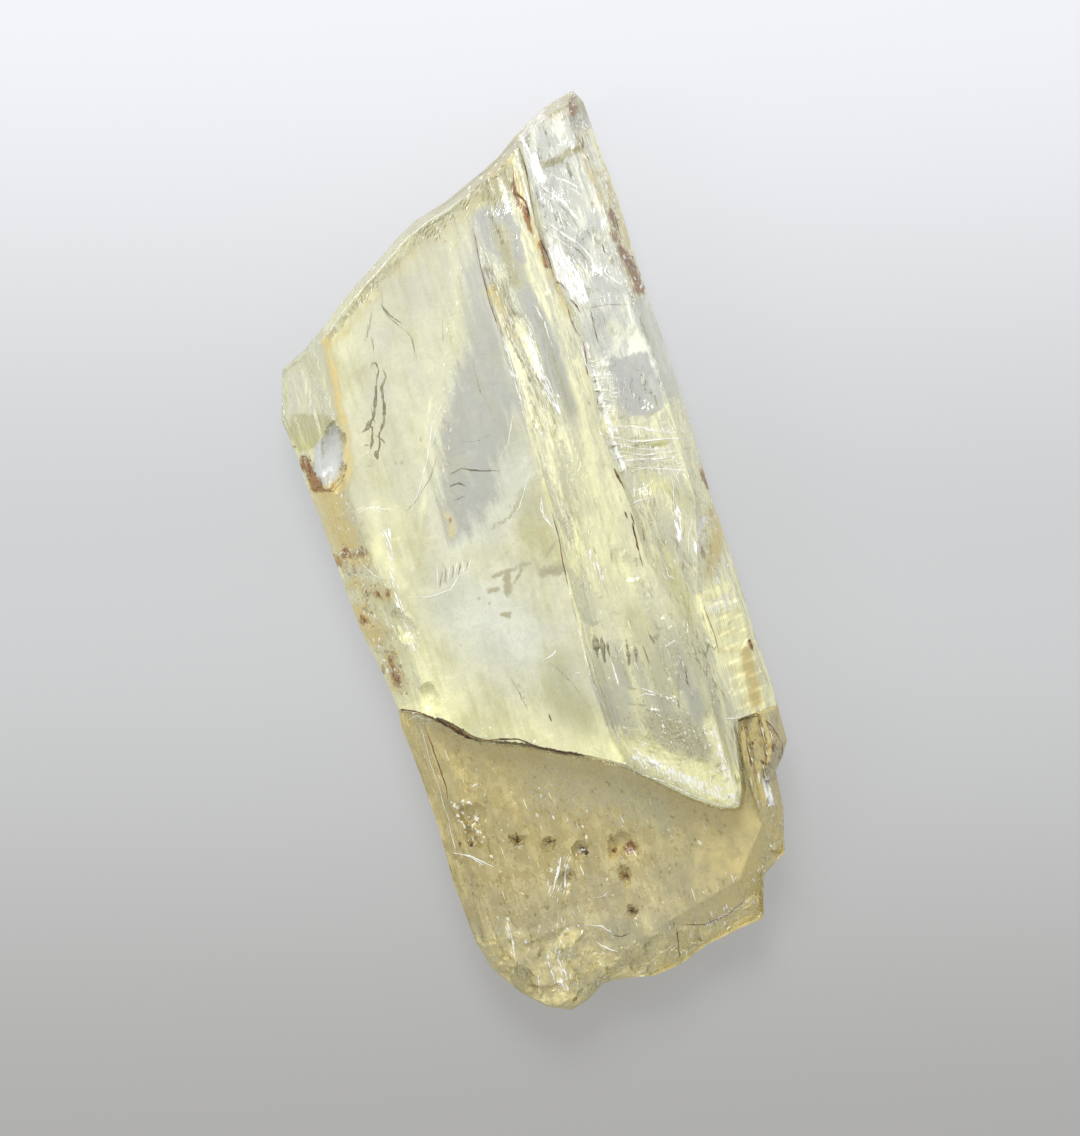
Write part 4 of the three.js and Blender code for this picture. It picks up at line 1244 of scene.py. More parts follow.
def blend_color(tree, amount, first, second):
    """A colour between first and second; each may be a colour or a socket."""
    first, second = (value if is_socket(value) else (*value, 1) for value in (first, second))
    return add(tree, "ShaderNodeMix", {0: amount, 6: first, 7: second}, data_type="RGBA").outputs[2]


print("node groups:", [tree.name for tree in bpy.data.node_groups])

# %% [markdown]
# ## The stone's material
#
# Two Principled shaders are mixed. One is plain clear glass with spodumene's refractive index. The
# other is the milky stone: a glossy surface over a pale, cloudy inside, for places where tiny
# fluid films scatter the light. The milk mask decides how much of each shows. Each tint has two
# colours: one for the milk, and one for the glass, which light crosses four times on its way in and
# out. A faint absorption gives depth its yellow-green.

# %% The stone's colours
IOR = 1.66
CREAM = (0.88, 0.87, 0.57)
CLEAR = (0.985, 0.99, 0.965)
# Mask, colour of milky stone, tint of clear stone; later tints lie over earlier ones.
TINTS = [
    ("yellow", (0.99, 0.965, 0.53), (0.975, 0.965, 0.76)),
    # The shelf's tan: partly the stone's stain, partly painted: the warm colour of skin seen through the
    # stone from behind.
    ("shelf", (0.62, 0.49, 0.18), (0.88, 0.765, 0.33)),
    ("olive", (0.60, 0.58, 0.25), (0.90, 0.885, 0.60)),
    ("cool", (0.84, 0.87, 0.84), (1.0, 1.0, 1.0)),
    ("tan", (0.44, 0.41, 0.24), (0.84, 0.79, 0.56)),
    ("amber", (0.67, 0.545, 0.22), (0.93, 0.82, 0.47)),
    # Painted glints: nearly white.
    ("painted_glint", (0.98, 0.98, 0.94), (1.0, 1.0, 1.0)),
    ("rust", (0.36, 0.19, 0.055), (0.55, 0.33, 0.11)),
    # Painted shadow along the crest of the break, and nearly black spots on the shelf.
    ("dark", (0.07, 0.045, 0.03), (0.15, 0.11, 0.07))]
BURNT = (0.14, 0.055, 0.012)       # the darkest iron stain
ABSORPTION = (0.95, 0.95, 0.78)
ABSORPTION_DENSITY = 22.0          # per metre
CLEAR_ROUGHNESS = 0.01
MILKY_GLASS_ROUGHNESS = 0.30       # added to the glass where the milk is full
MILKY_ROUGHNESS = 0.25
BUMP_DEPTH = 0.14                  # mm
BUMP_STRENGTH = 0.8
print("index", IOR, "and", len(TINTS), "tints, from", TINTS[0][0], "to", TINTS[-1][0])

# %% How the masks show
# Mask, grain that frays its border, how much, and the values where the border starts and ends.
FRAYED = [
    ("window", "blotch", 1.2, -0.1, 0.14), ("plate_window", "lengths", 2.6, -0.7, 0.8),
    ("bevel_window", "speck", 0.3, -0.03, 0.03), ("amber", "blotch", 0.9, 0.1, 0.95),
    ("tan", "speck", 1.3, 0.15, 0.75), ("painted_glint", "hairs", 1.9, 0.6, 0.72),
    ("rust", "blotch", 1.6, 0.25, 0.75), ("olive", "lengths", 0.9, 0.1, 0.9),
    ("dark", "speck", 0.8, 0.35, 0.6)]
# Mask, and how milky the stone is at least where the mask is full.
OPAQUE = [("tan", 0.8), ("amber", 1.0), ("painted_glint", 0.95), ("rust", 0.85), ("dark", 1.0),
          ("bevel_window", 0.5)]
LONG_GRAIN = (0.42, 9.0)           # size in mm and stretch along the blade
ROUND_GRAIN = (0.9, 1.3)
print(len(FRAYED), "masks get a frayed border")


# %% The stone's material
def mask(tree, name):
    """The named attribute of the mesh, as a number."""
    return add(tree, "ShaderNodeAttribute", attribute_name=name).outputs["Fac"]


def tinted(tree, base, column, amount, burnt):
    """The base colour with all tints laid over it, from one column of TINTS."""
    color = base
    for tint in TINTS:
        color = blend_color(tree, amount[tint[0]], color, tint[column])
        if tint[0] == "rust" and column == 1:
            color = blend_color(tree, burnt, color, BURNT)
    return color


def milk_in_shader(tree, amount, chip, patch):
    """The milk mask with streaks and clouds, closed off in the windows, full on opaque stains."""
    streaks = calc("MULTIPLY", calc("SUBTRACT", chip, 0.5),
                   calc("MULTIPLY_ADD", mask(tree, "along"), 0.62, 0.03))
    clouds = calc("MULTIPLY_ADD", calc("SUBTRACT", patch, 0.5),
                  calc("MULTIPLY_ADD", amount["shelf"], 0.25, 0.13), 1.0)
    milk = calc("MULTIPLY", mask(tree, "milk"), calc("ADD", streaks, clouds))
    veil = calc("MULTIPLY_ADD", patch, 0.14, -0.94)
    opening = calc("MAXIMUM", amount["window"], amount["plate_window"])
    closed = calc("MULTIPLY", calc("MULTIPLY_ADD", opening, veil, 1.0),
                  calc("SUBTRACT", 1.0, amount["bevel_window"]))
    milk = calc("MULTIPLY", milk, closed, clamp=True)
    for name, most in OPAQUE:
        milk = calc("MAXIMUM", milk, calc("MULTIPLY", amount[name], most))
    return milk


def stone_material():
    """Clear glass and milky stone, mixed by the masks."""
    material = bpy.data.materials.new("spodumene")
    material.use_nodes = True
    tree = material.node_tree
    glass = tree.nodes["Principled BSDF"]
    glass.name = glass.label = "clear stone"
    milky = add(tree, "ShaderNodeBsdfPrincipled", label="milky stone")
    place = add(tree, "ShaderNodeTexCoord").outputs["Object"]
    grains = dict(zip(("lengths", "hairs", "blotch", "speck"),
                      (*grain(tree, place, *LONG_GRAIN), *grain(tree, place, *ROUND_GRAIN))))
    chip = ragged(tree, grains["lengths"], grains["hairs"], 0.35, 0.42, 0.58)
    patch = ragged(tree, grains["blotch"], grains["speck"], 0.35, 0.44, 0.56)

    amount = {name: mask(tree, name) for name in ("yellow", "shelf", "cool")}
    for name, by, *border in FRAYED:
        amount[name] = ragged(tree, mask(tree, name), grains[by], *border)
    amount["cool"] = calc("MAXIMUM", amount["cool"], amount["bevel_window"])
    amount["shelf"] = calc("MULTIPLY", amount["shelf"], calc("MULTIPLY_ADD", patch, -0.22, 1.1),
                           clamp=True)
    fine_specks = ragged(tree, grains["speck"], grains["hairs"], 0.6, 0.42, 0.7)
    burnt = calc("MULTIPLY", amount["rust"], fine_specks)
    milk = milk_in_shader(tree, amount, chip, patch)

    bumps = calc("MULTIPLY_ADD", grains["hairs"], 0.5, grains["lengths"])
    bumps = calc("MULTIPLY_ADD", bumps, mask(tree, "crumple"), calc("MULTIPLY", grains["speck"], 0.12))
    bump(tree, bumps, BUMP_STRENGTH, BUMP_DEPTH, glass, milky)
    for shader, base, column in ((milky, CREAM, 1), (glass, CLEAR, 2)):
        tree.links.new(tinted(tree, base, column, amount, burnt), shader.inputs["Base Color"])
        shader.inputs["IOR"].default_value = IOR
    glass.inputs["Transmission Weight"].default_value = 1.0
    milky.inputs["Roughness"].default_value = MILKY_ROUGHNESS
    roughness = calc("MULTIPLY_ADD", milk, MILKY_GLASS_ROUGHNESS, CLEAR_ROUGHNESS)
    tree.links.new(roughness, glass.inputs["Roughness"])

    mixed = add(tree, "ShaderNodeMixShader", {0: milk, 1: glass.outputs[0], 2: milky.outputs[0]})
    absorb = add(tree, "ShaderNodeVolumeAbsorption",
                 {"Color": (*ABSORPTION, 1), "Density": ABSORPTION_DENSITY})
    leave = tree.nodes["Material Output"]
    tree.links.new(mixed.outputs[0], leave.inputs["Surface"])
    tree.links.new(absorb.outputs[0], leave.inputs["Volume"])
    return material


body.data.materials.append(stone_material())
print("material on", body.name)

# %% [markdown]
# ## Cracks, veins and trails of inclusions
#
# Thin lines give the crystal its scale: dark stained cracks along the ridge, white healed cracks,
# and strings of tiny dark inclusions. The dark lines along the crest of the break, and three grey
# lines beside white veins, are painted shadow. Each line is a ribbon with a flattened oval cross
# section. It follows the front surface, or lies inside the clear stone at a height of its own. Its
# width comes and goes, and it wanders a little, as a crack does. All lines of one kind are one mesh.

# %% Ribbons along paths
RIBBON_STEP = 0.12                 # mm between cross sections
RIBBON_SIDES = 6
RIBBON_FLATNESS = 0.45             # height of the cross section as a share of its width
RAISED = 0.01                      # mm above the surface, where a line's own row doesn't say


def walk(points, step):
    """Evenly spaced points along a path, about step apart: distance from the start, x and y."""
    points = np.array(points, float)
    lengths = np.hypot(*np.diff(points, axis=0).T)
    along = np.concatenate([[0], np.cumsum(lengths)])
    at = np.linspace(0, along[-1], max(int(along[-1] / step), 4) + 1)
    return at, np.interp(at, along, points[:, 0]), np.interp(at, along, points[:, 1])


def ribbon(points, width, seed, raised=RAISED, level=None, *, wander, beads):
    """Points and faces of one ribbon, raised above the surface or at a level inside the stone.

    The half width is width/2 times sqrt(sin) towards the ends, times 1 - beads * noise. The cross
    section is a flat ellipse. Layered noise makes it wander sideways.
    """
    at, x, y = walk(points, RIBBON_STEP)
    ahead_x, ahead_y = np.gradient(x), np.gradient(y)
    size = np.hypot(ahead_x, ahead_y) + 1e-9
    side_x, side_y = -ahead_y / size, ahead_x / size
    sway = wander * 2 * (layered(at * 0.9 + seed * 7.3, at * 0 + seed, seed, 4) - 0.5)
    x, y = x + side_x * sway, y + side_y * sway
    taper = np.sqrt(np.sin(np.pi * np.clip(at / at[-1], 0.02, 0.98)))
    thin = 1 - beads * layered(at * 2.1 + seed * 3.1, at * 0, seed + 5, 3)
    half = width / 2 * taper * thin
    z = front_height(x, y) + raised if level is None else np.full_like(x, level)
    turn = np.linspace(0, 2 * np.pi, RIBBON_SIDES, endpoint=False)
    across = half[:, None] * np.cos(turn)
    rings = np.stack([x[:, None] + side_x[:, None] * across, y[:, None] + side_y[:, None] * across,
                      z[:, None] + RIBBON_FLATNESS * half[:, None] * np.sin(turn)], -1)
    count = len(at)
    ring, spoke = np.meshgrid(np.arange(count - 1), np.arange(RIBBON_SIDES), indexing="ij")
    after = (spoke + 1) % RIBBON_SIDES
    here, there = ring * RIBBON_SIDES, (ring + 1) * RIBBON_SIDES
    sides = np.stack([there + spoke, there + after, here + after, here + spoke], -1).reshape(-1, 4)
    first, last = np.arange(RIBBON_SIDES), (count - 1) * RIBBON_SIDES + np.arange(RIBBON_SIDES)[::-1]
    return rings.reshape(-1, 3), sides.tolist() + [first.tolist(), last.tolist()]


def joined(name, parts):
    """One object from several (points, faces) parts."""
    points, faces, start = [], [], 0
    for part_points, part_faces in parts:
        points.append(part_points)
        faces += [[start + corner for corner in face] for face in part_faces]
        start += len(part_points)
    made = mesh_object(name, np.concatenate(points), faces)
    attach(made, "root")
    print(name, "has", len(parts), "parts and", len(faces), "faces")
    return made


print("a ribbon 5 mm long has", len(walk([(0, 0), (3, 4)], RIBBON_STEP)[0]), "cross sections")

# %% Dark stained cracks, and painted shadow along the break
CRACK_SEED = 40
# Path, width in mm, and mm above the surface where that isn't RAISED.
CRACKS = [
    ([(8.55, 30.4), (8.55, 28.5), (8.35, 26.8), (8.2, 25.4), (8, 24.2), (8.1, 23.4)], 0.15, 0.02),
    ([(7.6, 28.4), (7.35, 27.6), (7.35, 26.8), (7.8, 26), (7.8, 25), (7.6, 24)], 0.26, 0.02),
    ([(8.1, 23.6), (8.05, 22.6), (8.2, 21.6), (8.1, 20.4), (8.05, 19.6)], 0.16, 0.02),
    ([(8.05, 19.6), (8.5, 19.3), (8.75, 18.6)], 0.14, 0.02),
    ([(8.75, 18.1), (9.1, 17.4), (9.2, 16.8)], 0.14, 0.02),
    ([(8.5, 17.8), (8.4, 16.6), (8.5, 15.6), (8.7, 15)], 0.11, 0.02),
    ([(8.7, 14.6), (8.6, 13.8), (8.5, 13)], 0.22, 0.02), ([(8.45, 12.9), (8.3, 12.2)], 0.12, 0.02),
    ([(8.5, 10.4), (8.4, 9.8)], 0.14, 0.02), ([(10, 16.8), (9.9, 15.4), (9.8, 14.2)], 0.1, 0.02),
    ([(8.1, 4.9), (8.2, 4.2), (8.35, 3.2)], 0.26, 0.03), ([(7.9, 1.6), (7.9, 1)], 0.16, 0.03),
    ([(8.25, 1.4), (8.3, 0.4)], 0.12, 0.03), ([(8.15, 0.6), (8.05, -0.6), (7.95, -1.6)], 0.26, 0.03),
    ([(8.8, 0), (8.6, -1)], 0.2, 0.03), ([(7.95, -1.6), (7.9, -2.8)], 0.1, 0.02),
    ([(3.45, 25.4), (3.15, 22.4), (3, 19.6), (3, 17.4)], 0.12),
    ([(2.6, 3.2), (2.55, 1.2), (2.3, -0.6), (2.1, -2.6)], 0.14), ([(2.1, -3.4), (1.95, -6)], 0.06),
    ([(6.1, -8.4), (6.2, -9.8)], 0.08), ([(7.4, -13), (7.3, -13.8)], 0.1),
    ([(8.6, -11.2), (8.5, -12.2)], 0.08), ([(-2.15, -11.2), (-2.1, -11.8)], 0.14),
    ([(13.3, 29.4), (13.2, 28.6)], 0.12), ([(13.25, 28.2), (13.3, 27.4)], 0.08),
    ([(12.35, 21.3), (12.3, 20.5)], 0.14), ([(11.6, 22.6), (11.7, 21.8)], 0.08),
    ([(13.9, 23.2), (13.75, 21.4)], 0.12), ([(11.4, -6.9), (11.5, -9.2), (11.3, -11)], 0.07),
    ([(13.9, -10.4), (13.9, -11.4)], 0.1), ([(11, -16), (12.2, -16), (12.9, -16.1)], 0.14, 0.02),
    ([(12.9, -16.1), (13.6, -17.3), (13.9, -18.6), (13.6, -19.6)], 0.12, 0.02),
    ([(11.1, -16.1), (11, -17.6)], 0.1, 0.02), ([(11.4, -17.4), (11.2, -19.6)], 0.2, 0.02),
    ([(12.4, -17.8), (12.4, -19.6)], 0.1, 0.02), ([(2.1, -29.5), (1.7, -31.6)], 0.12, 0.02),
    ([(2.6, -29.3), (4.2, -29.8), (6, -29.6), (7.6, -29)], 0.1, 0.02),
    ([(-2.6, -28.5), (-2, -28.8), (-1.3, -28.7)], 0.1), ([(9.6, 17), (11.2, 16.8), (12.9, 16.3)], 0.05),
    ([(-13.3, 10), (-12.5, 9.6), (-11.6, 10.2), (-10.9, 11.4)], 0.1),
    ([(-11.3, -9.2), (-11.2, -11.8), (-11.2, -14.1), (-11.4, -15.3)], 0.14),
    ([(-11.5, -18.2), (-11.5, -18.7)], 0.2), ([(-10.7, -18.2), (-10.6, -19)], 0.2),
    ([(-7.7, -19.9), (-7.2, -19.5), (-7.2, -18.9)], 0.2)]
# Dark ribbons along the crest of the break: painted shadow in its undercut, in the stain's material.
BREAK_SHADOW_RIBBONS = [
    ([(-12.7, -7.5), (-11.6, -8), (-10.4, -9), (-9.6, -9.8)], 0.2, 0.03),
    ([(-10.2, -9.2), (-9.4, -10), (-8.6, -10.9), (-7.8, -11.5)], 0.42, 0.05),
    ([(-8.1, -11.4), (-7.2, -11.7), (-5.8, -12), (-4.9, -12.3), (-3.9, -13.1)], 0.2, 0.03),
    ([(-4.2, -12.9), (-3, -13.7), (-1.9, -14.3), (-0.6, -15)], 0.27, 0.04)]
cracks = joined("stained_cracks_and_break_shadow", [
    ribbon(points, width, CRACK_SEED + i, *raised, wander=0.07, beads=0.75)
    for i, (points, width, *raised) in enumerate(CRACKS + BREAK_SHADOW_RIBBONS)])

# %% Hairline cracks and trails inside the clear stone, and painted shadow lines beside white veins
TRAIL_SEED = 90
# Path, width in mm, and height in mm where the line isn't on the surface.
HAIRLINES_AND_SHADOW_LINES = [
    ([(-4, 8.2), (-2.8, 8.35), (-1.6, 7.8), (-0.1, 7.3)], 0.22, 7.2),
    ([(-4.1, 7.3), (-3.4, 7.4), (-2.9, 7)], 0.2, 7.2), ([(-4.3, 6.2), (-3.2, 6.3)], 0.1, 7.2),
    ([(-2.2, 10.4), (-1.2, 10), (0.4, 10.2)], 0.05, 6.4),
    ([(0.4, 15.8), (0.2, 13.4), (0.6, 11.6)], 0.05, 6.3),
    ([(-4.5, 23.2), (-4.8, 21.7), (-4.5, 20.7), (-3.6, 19.4), (-3.4, 18.5), (-3.8, 16.9)], 0.09, 7.36),
    ([(-5.5, 21.9), (-6.2, 20.6), (-6.9, 19.6)], 0.06, 7.36),
    ([(-1, -7.4), (0.2, -9.4), (0.9, -11.6)], 0.06, 7.34), ([(-9.2, 4.2), (-8.8, 1.2)], 0.05, 7.36),
    # The next three paths, beside white veins on the right strip, are painted shadow lines.
    ([(10.1, 25.2), (10.8, 23.8), (11, 22.8)], 0.12), ([(9.7, 22.4), (10.5, 21.3), (11, 20)], 0.1),
    ([(11.8, 19.5), (12.3, 18.7)], 0.1),
    ([(x, tip_edge(x) - 0.16) for x in np.linspace(0.4, 10.4, 9)], 0.09),
    ([(5.6, 28.3), (6.3, 28.5), (7, 28.6)], 0.16), ([(1, 26.4), (0.8, 25.2)], 0.1),
    ([(2.4, 27), (2.3, 25.8)], 0.1), ([(-0.8, 19.4), (-1.3, 17.8)], 0.08)]
TRAILS = [
    ([(-7, 17.7), (-6.6, 17.9), (-6.55, 17.3), (-7.1, 16.1), (-7.6, 14.9), (-8, 14), (-8.5, 13.6),
      (-8.3, 13.3), (-8.6, 12.2)], 0.34),
    ([(-6.2, 17.3), (-6.2, 16.7), (-6.7, 16), (-6.9, 14.7), (-7.1, 14.1), (-7.6, 13.2), (-8, 12.7),
      (-8.1, 11.9), (-8.6, 11.1)], 0.34), ([(-9.1, 13.2), (-8.6, 13.4), (-8.2, 13.9)], 0.42),
    ([(-8.3, 12.7), (-7.9, 12.3), (-7.7, 11.9)], 0.3), ([(-8.5, 12.5), (-8.9, 11.8)], 0.34),
    ([(-8.5, 11.6), (-8.7, 10.9)], 0.34), ([(-7.9, 14.9), (-8, 13.6)], 0.26),
    ([(-7.2, 14.2), (-7.3, 13.2)], 0.3), ([(-6.9, 18), (-6.5, 17.7)], 0.3),
    ([(-6.3, 19.9), (-6.5, 18.6)], 0.12), ([(-4.9, 22), (-4.5, 20.9), (-3.8, 20.1)], 0.22),
    ([(-6.2, 20.9), (-6.6, 19.8)], 0.14), ([(-8.7, 13.5), (-8.2, 13.8)], 0.6),
    ([(-8.6, 11.6), (-8.7, 11.1)], 0.5), ([(-9.2, 12.3), (-8.9, 12.1)], 0.34),
    ([(-3.4, 18.9), (-3.6, 17.2)], 0.12), ([(-6.6, 1.4), (-7.1, 0.3)], 0.16),
    ([(-6.2, 1.6), (-6.6, 0.5)], 0.12), ([(-5.6, 1.7), (-6, 0.7)], 0.14),
    ([(-5.1, 1.7), (-5.5, 0.8)], 0.12), ([(-4.5, 1.7), (-4.9, 0.9)], 0.14),
    ([(-4.1, -7.7), (-3.8, -9), (-3.6, -10.5)], 0.1), ([(-6.5, 7.3), (-5.3, 8.4), (-4.3, 9.8)], 0.1),
    ([(-7.8, 6.5), (-6.5, 7.3)], 0.08), ([(2.9, -6.6), (2.8, -7.5), (2.6, -8.3)], 0.75),
    ([(3.4, -6.7), (3.2, -7.8), (3, -8.8)], 0.65), ([(3.7, -7.3), (3.5, -8.5)], 0.45),
    ([(5.1, -7.6), (4.9, -8.6), (4.7, -9.5)], 0.7), ([(5.5, -8.3), (5.3, -9.5)], 0.4),
    ([(6.8, -7.7), (7, -8.6)], 0.4)]
trails = joined("inclusion_trails_and_shadow_lines", [
    ribbon(points, width, TRAIL_SEED + i, 0.0, *level, wander=0.09, beads=0.9)
    for i, (points, width, *level) in enumerate(HAIRLINES_AND_SHADOW_LINES + TRAILS)])

# %% White healed cracks
VEIN_SEED = 140
# Path, width in mm, and mm above the surface where that isn't RAISED. The last twenty are hatching
# at the window's foot and curved steps across the right strip.
WHITE_VEINS = [
    ([(9.3, 26.8), (10.4, 25.2), (11.1, 23.7), (11.3, 22.8)], 0.34),
    ([(10.6, 27), (11.5, 26.2), (12, 25.8)], 0.24),
    ([(9, 23.8), (9.9, 22.6), (10.6, 21.8), (11.2, 20.4), (11.4, 19.2)], 0.36),
    ([(11.9, 19.2), (12.4, 18.4), (12.8, 17.9)], 0.18), ([(9.9, 24.8), (10.3, 23.6), (10.8, 22.6)], 0.14),
    ([(6, 18.6), (6.4, 17), (6.5, 15)], 0.16),
    ([(x, tip_edge(x) - 0.62) for x in np.linspace(-9.4, 3.4, 9)], 0.1),
    ([(-9.4, 0.3), (-8, -0.1), (-6.4, 0), (-5.6, 0.6), (-4.3, 0.9)], 0.12),
    ([(-2.1, 13.6), (-3.6, 11.9), (-4.6, 10.6)], 0.08), ([(2.3, 11.4), (1, 9), (0.1, 8.2)], 0.08),
    ([(2.2, 4.2), (2, 3), (2.3, 2.2)], 0.14),
    ([(-11.2, 7.5), (-10.1, 7.6), (-9.4, 7.2), (-8.8, 6.8)], 0.09),
    ([(-9.7, 7.8), (-9.4, 7.2), (-9.8, 7)], 0.08), ([(-12.3, 4.3), (-11.8, 3.1), (-10.7, 2)], 0.08),
    ([(-11.6, -8.9), (-11.7, -12.6), (-11.7, -15.5), (-11.9, -19.3)], 0.08),
    ([(-12.2, -18.9), (-10.9, -19.6), (-9.5, -20.9)], 0.18), ([(-11, -19.7), (-10.3, -20.5)], 0.14),
    ([(-12.3, -8.4), (-11.6, -8.3), (-11, -8.9)], 0.16), ([(-9.3, -14.6), (-8.8, -14.5)], 0.22),
    ([(3.8, -12.1), (5.2, -11.9), (6.4, -12.5), (7.6, -13.6)], 0.1),
    ([(7.6, -13.6), (8, -14.7), (8.1, -15.3)], 0.1), ([(3.2, 17), (3, 13.2), (2.8, 10)], 0.1),
    ([(4.9, 18), (5.2, 17), (5.2, 15.6), (5.4, 14.2)], 0.16), ([(5.4, 13), (5.5, 11.8), (5.6, 11.2)], 0.16),
    ([(4.6, 15.4), (4.5, 13.6), (4.7, 12), (4.6, 10.8)], 0.14),
    ([(2, -4), (1.8, -7.2), (1.75, -9.8), (2, -12.4)], 0.08),
    ([(4.5, -11.2), (5.6, -11.8), (6.6, -12.6), (7.4, -13.5), (7.8, -14.4)], 0.12),
    ([(7.3, -8.9), (7.9, -9.05), (8.8, -8.7)], 0.14), ([(3.6, -8.9), (3.55, -10), (3.4, -11)], 0.2, 0.02),
    ([(3.3, -8.9), (4.1, -8.5), (4.8, -7.8)], 0.1),
    ([(2.3, -13.4), (2.3, -14.4), (2.1, -15.2)], 0.16, 0.02), ([(9.6, -3.2), (9.6, -4), (10, -4.4)], 0.14),
    ([(8.5, 1.9), (9.2, 2), (10.1, 1.9)], 0.16), ([(12.1, 3.8), (11.9, 2.2), (11.4, 0.2)], 0.08),
    ([(12.6, -0.4), (11.9, -1.6), (11.5, -3)], 0.14), ([(-1.2, -7.2), (-0.6, -7.1), (-0.2, -6.8)], 0.26),
    ([(2, 6.6), (0.9, 5), (0.3, 4.2), (-0.6, 3.4)], 0.1),
    ([(-2.4, 14), (-3.9, 12.2), (-5.2, 9.6), (-6.4, 7.8), (-7.9, 5.9)], 0.1),
    ([(2.2, 4.6), (1.9, 3.6), (2.4, 2)], 0.12), ([(0.6, -8.8), (1.1, -8.9)], 0.14),
    ([(1, -15.8), (4.2, -18.4), (6.4, -20.4), (8.6, -22)], 0.1, 0.02),
    ([(11.3, -6.4), (12.5, -6.9), (13.6, -6.9)], 0.1),
    ([(10.2, -15.5), (11.4, -15.8), (12.4, -15.7)], 0.14, 0.02),
    ([(14.2, -9.2), (14, -7.4), (13.8, -5)], 0.1, 0.02), ([(11.9, -20.9), (11.8, -22.6)], 0.24, 0.02),
    ([(-9.8, -24.9), (-9.9, -26.8), (-10.2, -28.4)], 0.22, 0.02),
    ([(-8.8, -29.6), (-9.2, -31)], 0.14, 0.02), ([(-5.9, -24.1), (-5.2, -23), (-4.5, -21.7)], 0.28, 0.02),
    ([(-5.2, -24.4), (-4.8, -23.4), (-4.2, -22.3)], 0.2, 0.02), ([(-6.1, -23.6), (-5.9, -23)], 0.12, 0.02),
    ([(-3.2, -25.4), (-2.4, -25.5), (-1.7, -25.2)], 0.07),
    ([(-4.4, -27.1), (-3.2, -27.6), (-2.6, -28.3)], 0.18, 0.02),
    ([(-3.9, -28.6), (-3.2, -29.4), (-2.6, -29.8)], 0.18, 0.02),
    ([(9.5, 26.9), (10.2, 25.6), (10.9, 24.3), (11.3, 22.9)], 0.16), ([(9.3, 26.2), (9.9, 25.4)], 0.12),
    ([(10.9, 26.3), (11.5, 25.7), (12.2, 24.9)], 0.09), ([(10.3, 27.4), (10.6, 26.8)], 0.12),
    ([(8.5, 24), (9, 23), (9.9, 21.7)], 0.14), ([(9.8, 21.4), (10.4, 20.2), (10.6, 19.2)], 0.12),
    ([(11.1, 19.9), (11.5, 19.2), (11.9, 18.4)], 0.1), ([(8.6, 25.9), (9.2, 25.8), (9.4, 26.2)], 0.1),
    ([(10.5, 17.6), (11.6, 17.4), (12.8, 17)], 0.06), ([(-5.9, 1.8), (-6.3, 0.6)], 0.12),
    ([(-5.3, 1.8), (-5.7, 0.8)], 0.12), ([(-4.8, 1.8), (-5.1, 0.8)], 0.12), ([(-4.2, 1.7), (-4.5, 1)], 0.1),
    ([(-6.8, 2), (-7.2, 0.7)], 0.12), ([(8.2, 8.2), (10.4, 7.4), (12.2, 6.5), (14.2, 5.9)], 0.14),
    ([(8.2, 7.5), (10.1, 6.4), (12.5, 5.8), (14.3, 5.3)], 0.17),
    ([(8.2, 6.9), (10.4, 5.7), (12.6, 5.1)], 0.13), ([(8.3, 6.2), (10.8, 5.1), (13.4, 4.7)], 0.12),
    ([(8.5, 5.4), (10.6, 4.8), (12.8, 4.4)], 0.16), ([(8.9, 4.8), (10.7, 4.1), (13.6, 3)], 0.12),
    ([(7.9, 7.9), (8.3, 6.6), (8.9, 5.2)], 0.2), ([(8.5, 7.1), (8.6, 5.9), (8.9, 4.9)], 0.16),
    ([(8.9, 12.7), (10.5, 12.4)], 0.1), ([(8.7, 11.7), (10.2, 11.4)], 0.1),
    ([(8.7, 10.9), (9.9, 10.4)], 0.1), ([(8.6, 10.2), (9.9, 9.6)], 0.12), ([(8.4, 9.4), (9.7, 8.9)], 0.12),
    ([(13.6, 4.1), (12.4, 2.9), (12.4, 1.9)], 0.08), ([(9, 2.8), (10, 2.8), (11, 3.4)], 0.14)]
veins = joined("white_veins", [
    ribbon(points, width, VEIN_SEED + i, *raised, wander=0.10, beads=0.8)
    for i, (points, width, *raised) in enumerate(WHITE_VEINS)])

# %% [markdown]
# The lines have plain materials with a little variation: brown to nearly black for stained cracks
# and for the painted shadow along the break, grey-green for the inclusions and for the painted
# shadow lines, and glossy white for healed cracks, which shine because they are full of tiny flat
# films.

# %% Materials of the lines
LINE_IOR = 1.5
FILM_BUMPS = 0.03                  # mm


def line_material(name, dark, light, roughness, size):
    """A material whose colour goes from dark to light with grain, on a slightly bumpy surface."""
    material, shader = principled(name, dark, roughness)
    tree = material.node_tree
    place = add(tree, "ShaderNodeTexCoord").outputs["Object"]
    coarse, fine = grain(tree, place, size, 1.5)
    share = ragged(tree, coarse, fine, 0.5, 0.35, 0.65)
    tree.links.new(blend_color(tree, share, dark, light), shader.inputs["Base Color"])
    bump(tree, fine, 0.4, FILM_BUMPS, shader)
    shader.inputs["IOR"].default_value = LINE_IOR
    return material


# Object, material, darker and lighter colour, roughness, grain size in mm.
LINE_LOOKS = [
    (cracks, "iron_stain_and_break_shadow", (0.055, 0.03, 0.015), (0.26, 0.13, 0.05), 0.45, 0.8),
    (trails, "inclusion_and_shadow_line", (0.20, 0.19, 0.11), (0.37, 0.35, 0.22), 0.4, 0.3),
    (veins, "healed_crack", (0.80, 0.80, 0.68), (0.98, 0.98, 0.95), 0.15, 0.4)]
for made, *look in LINE_LOOKS:
    made.data.materials.append(line_material(*look))
print("line materials:", [name for _, name, *_ in LINE_LOOKS])

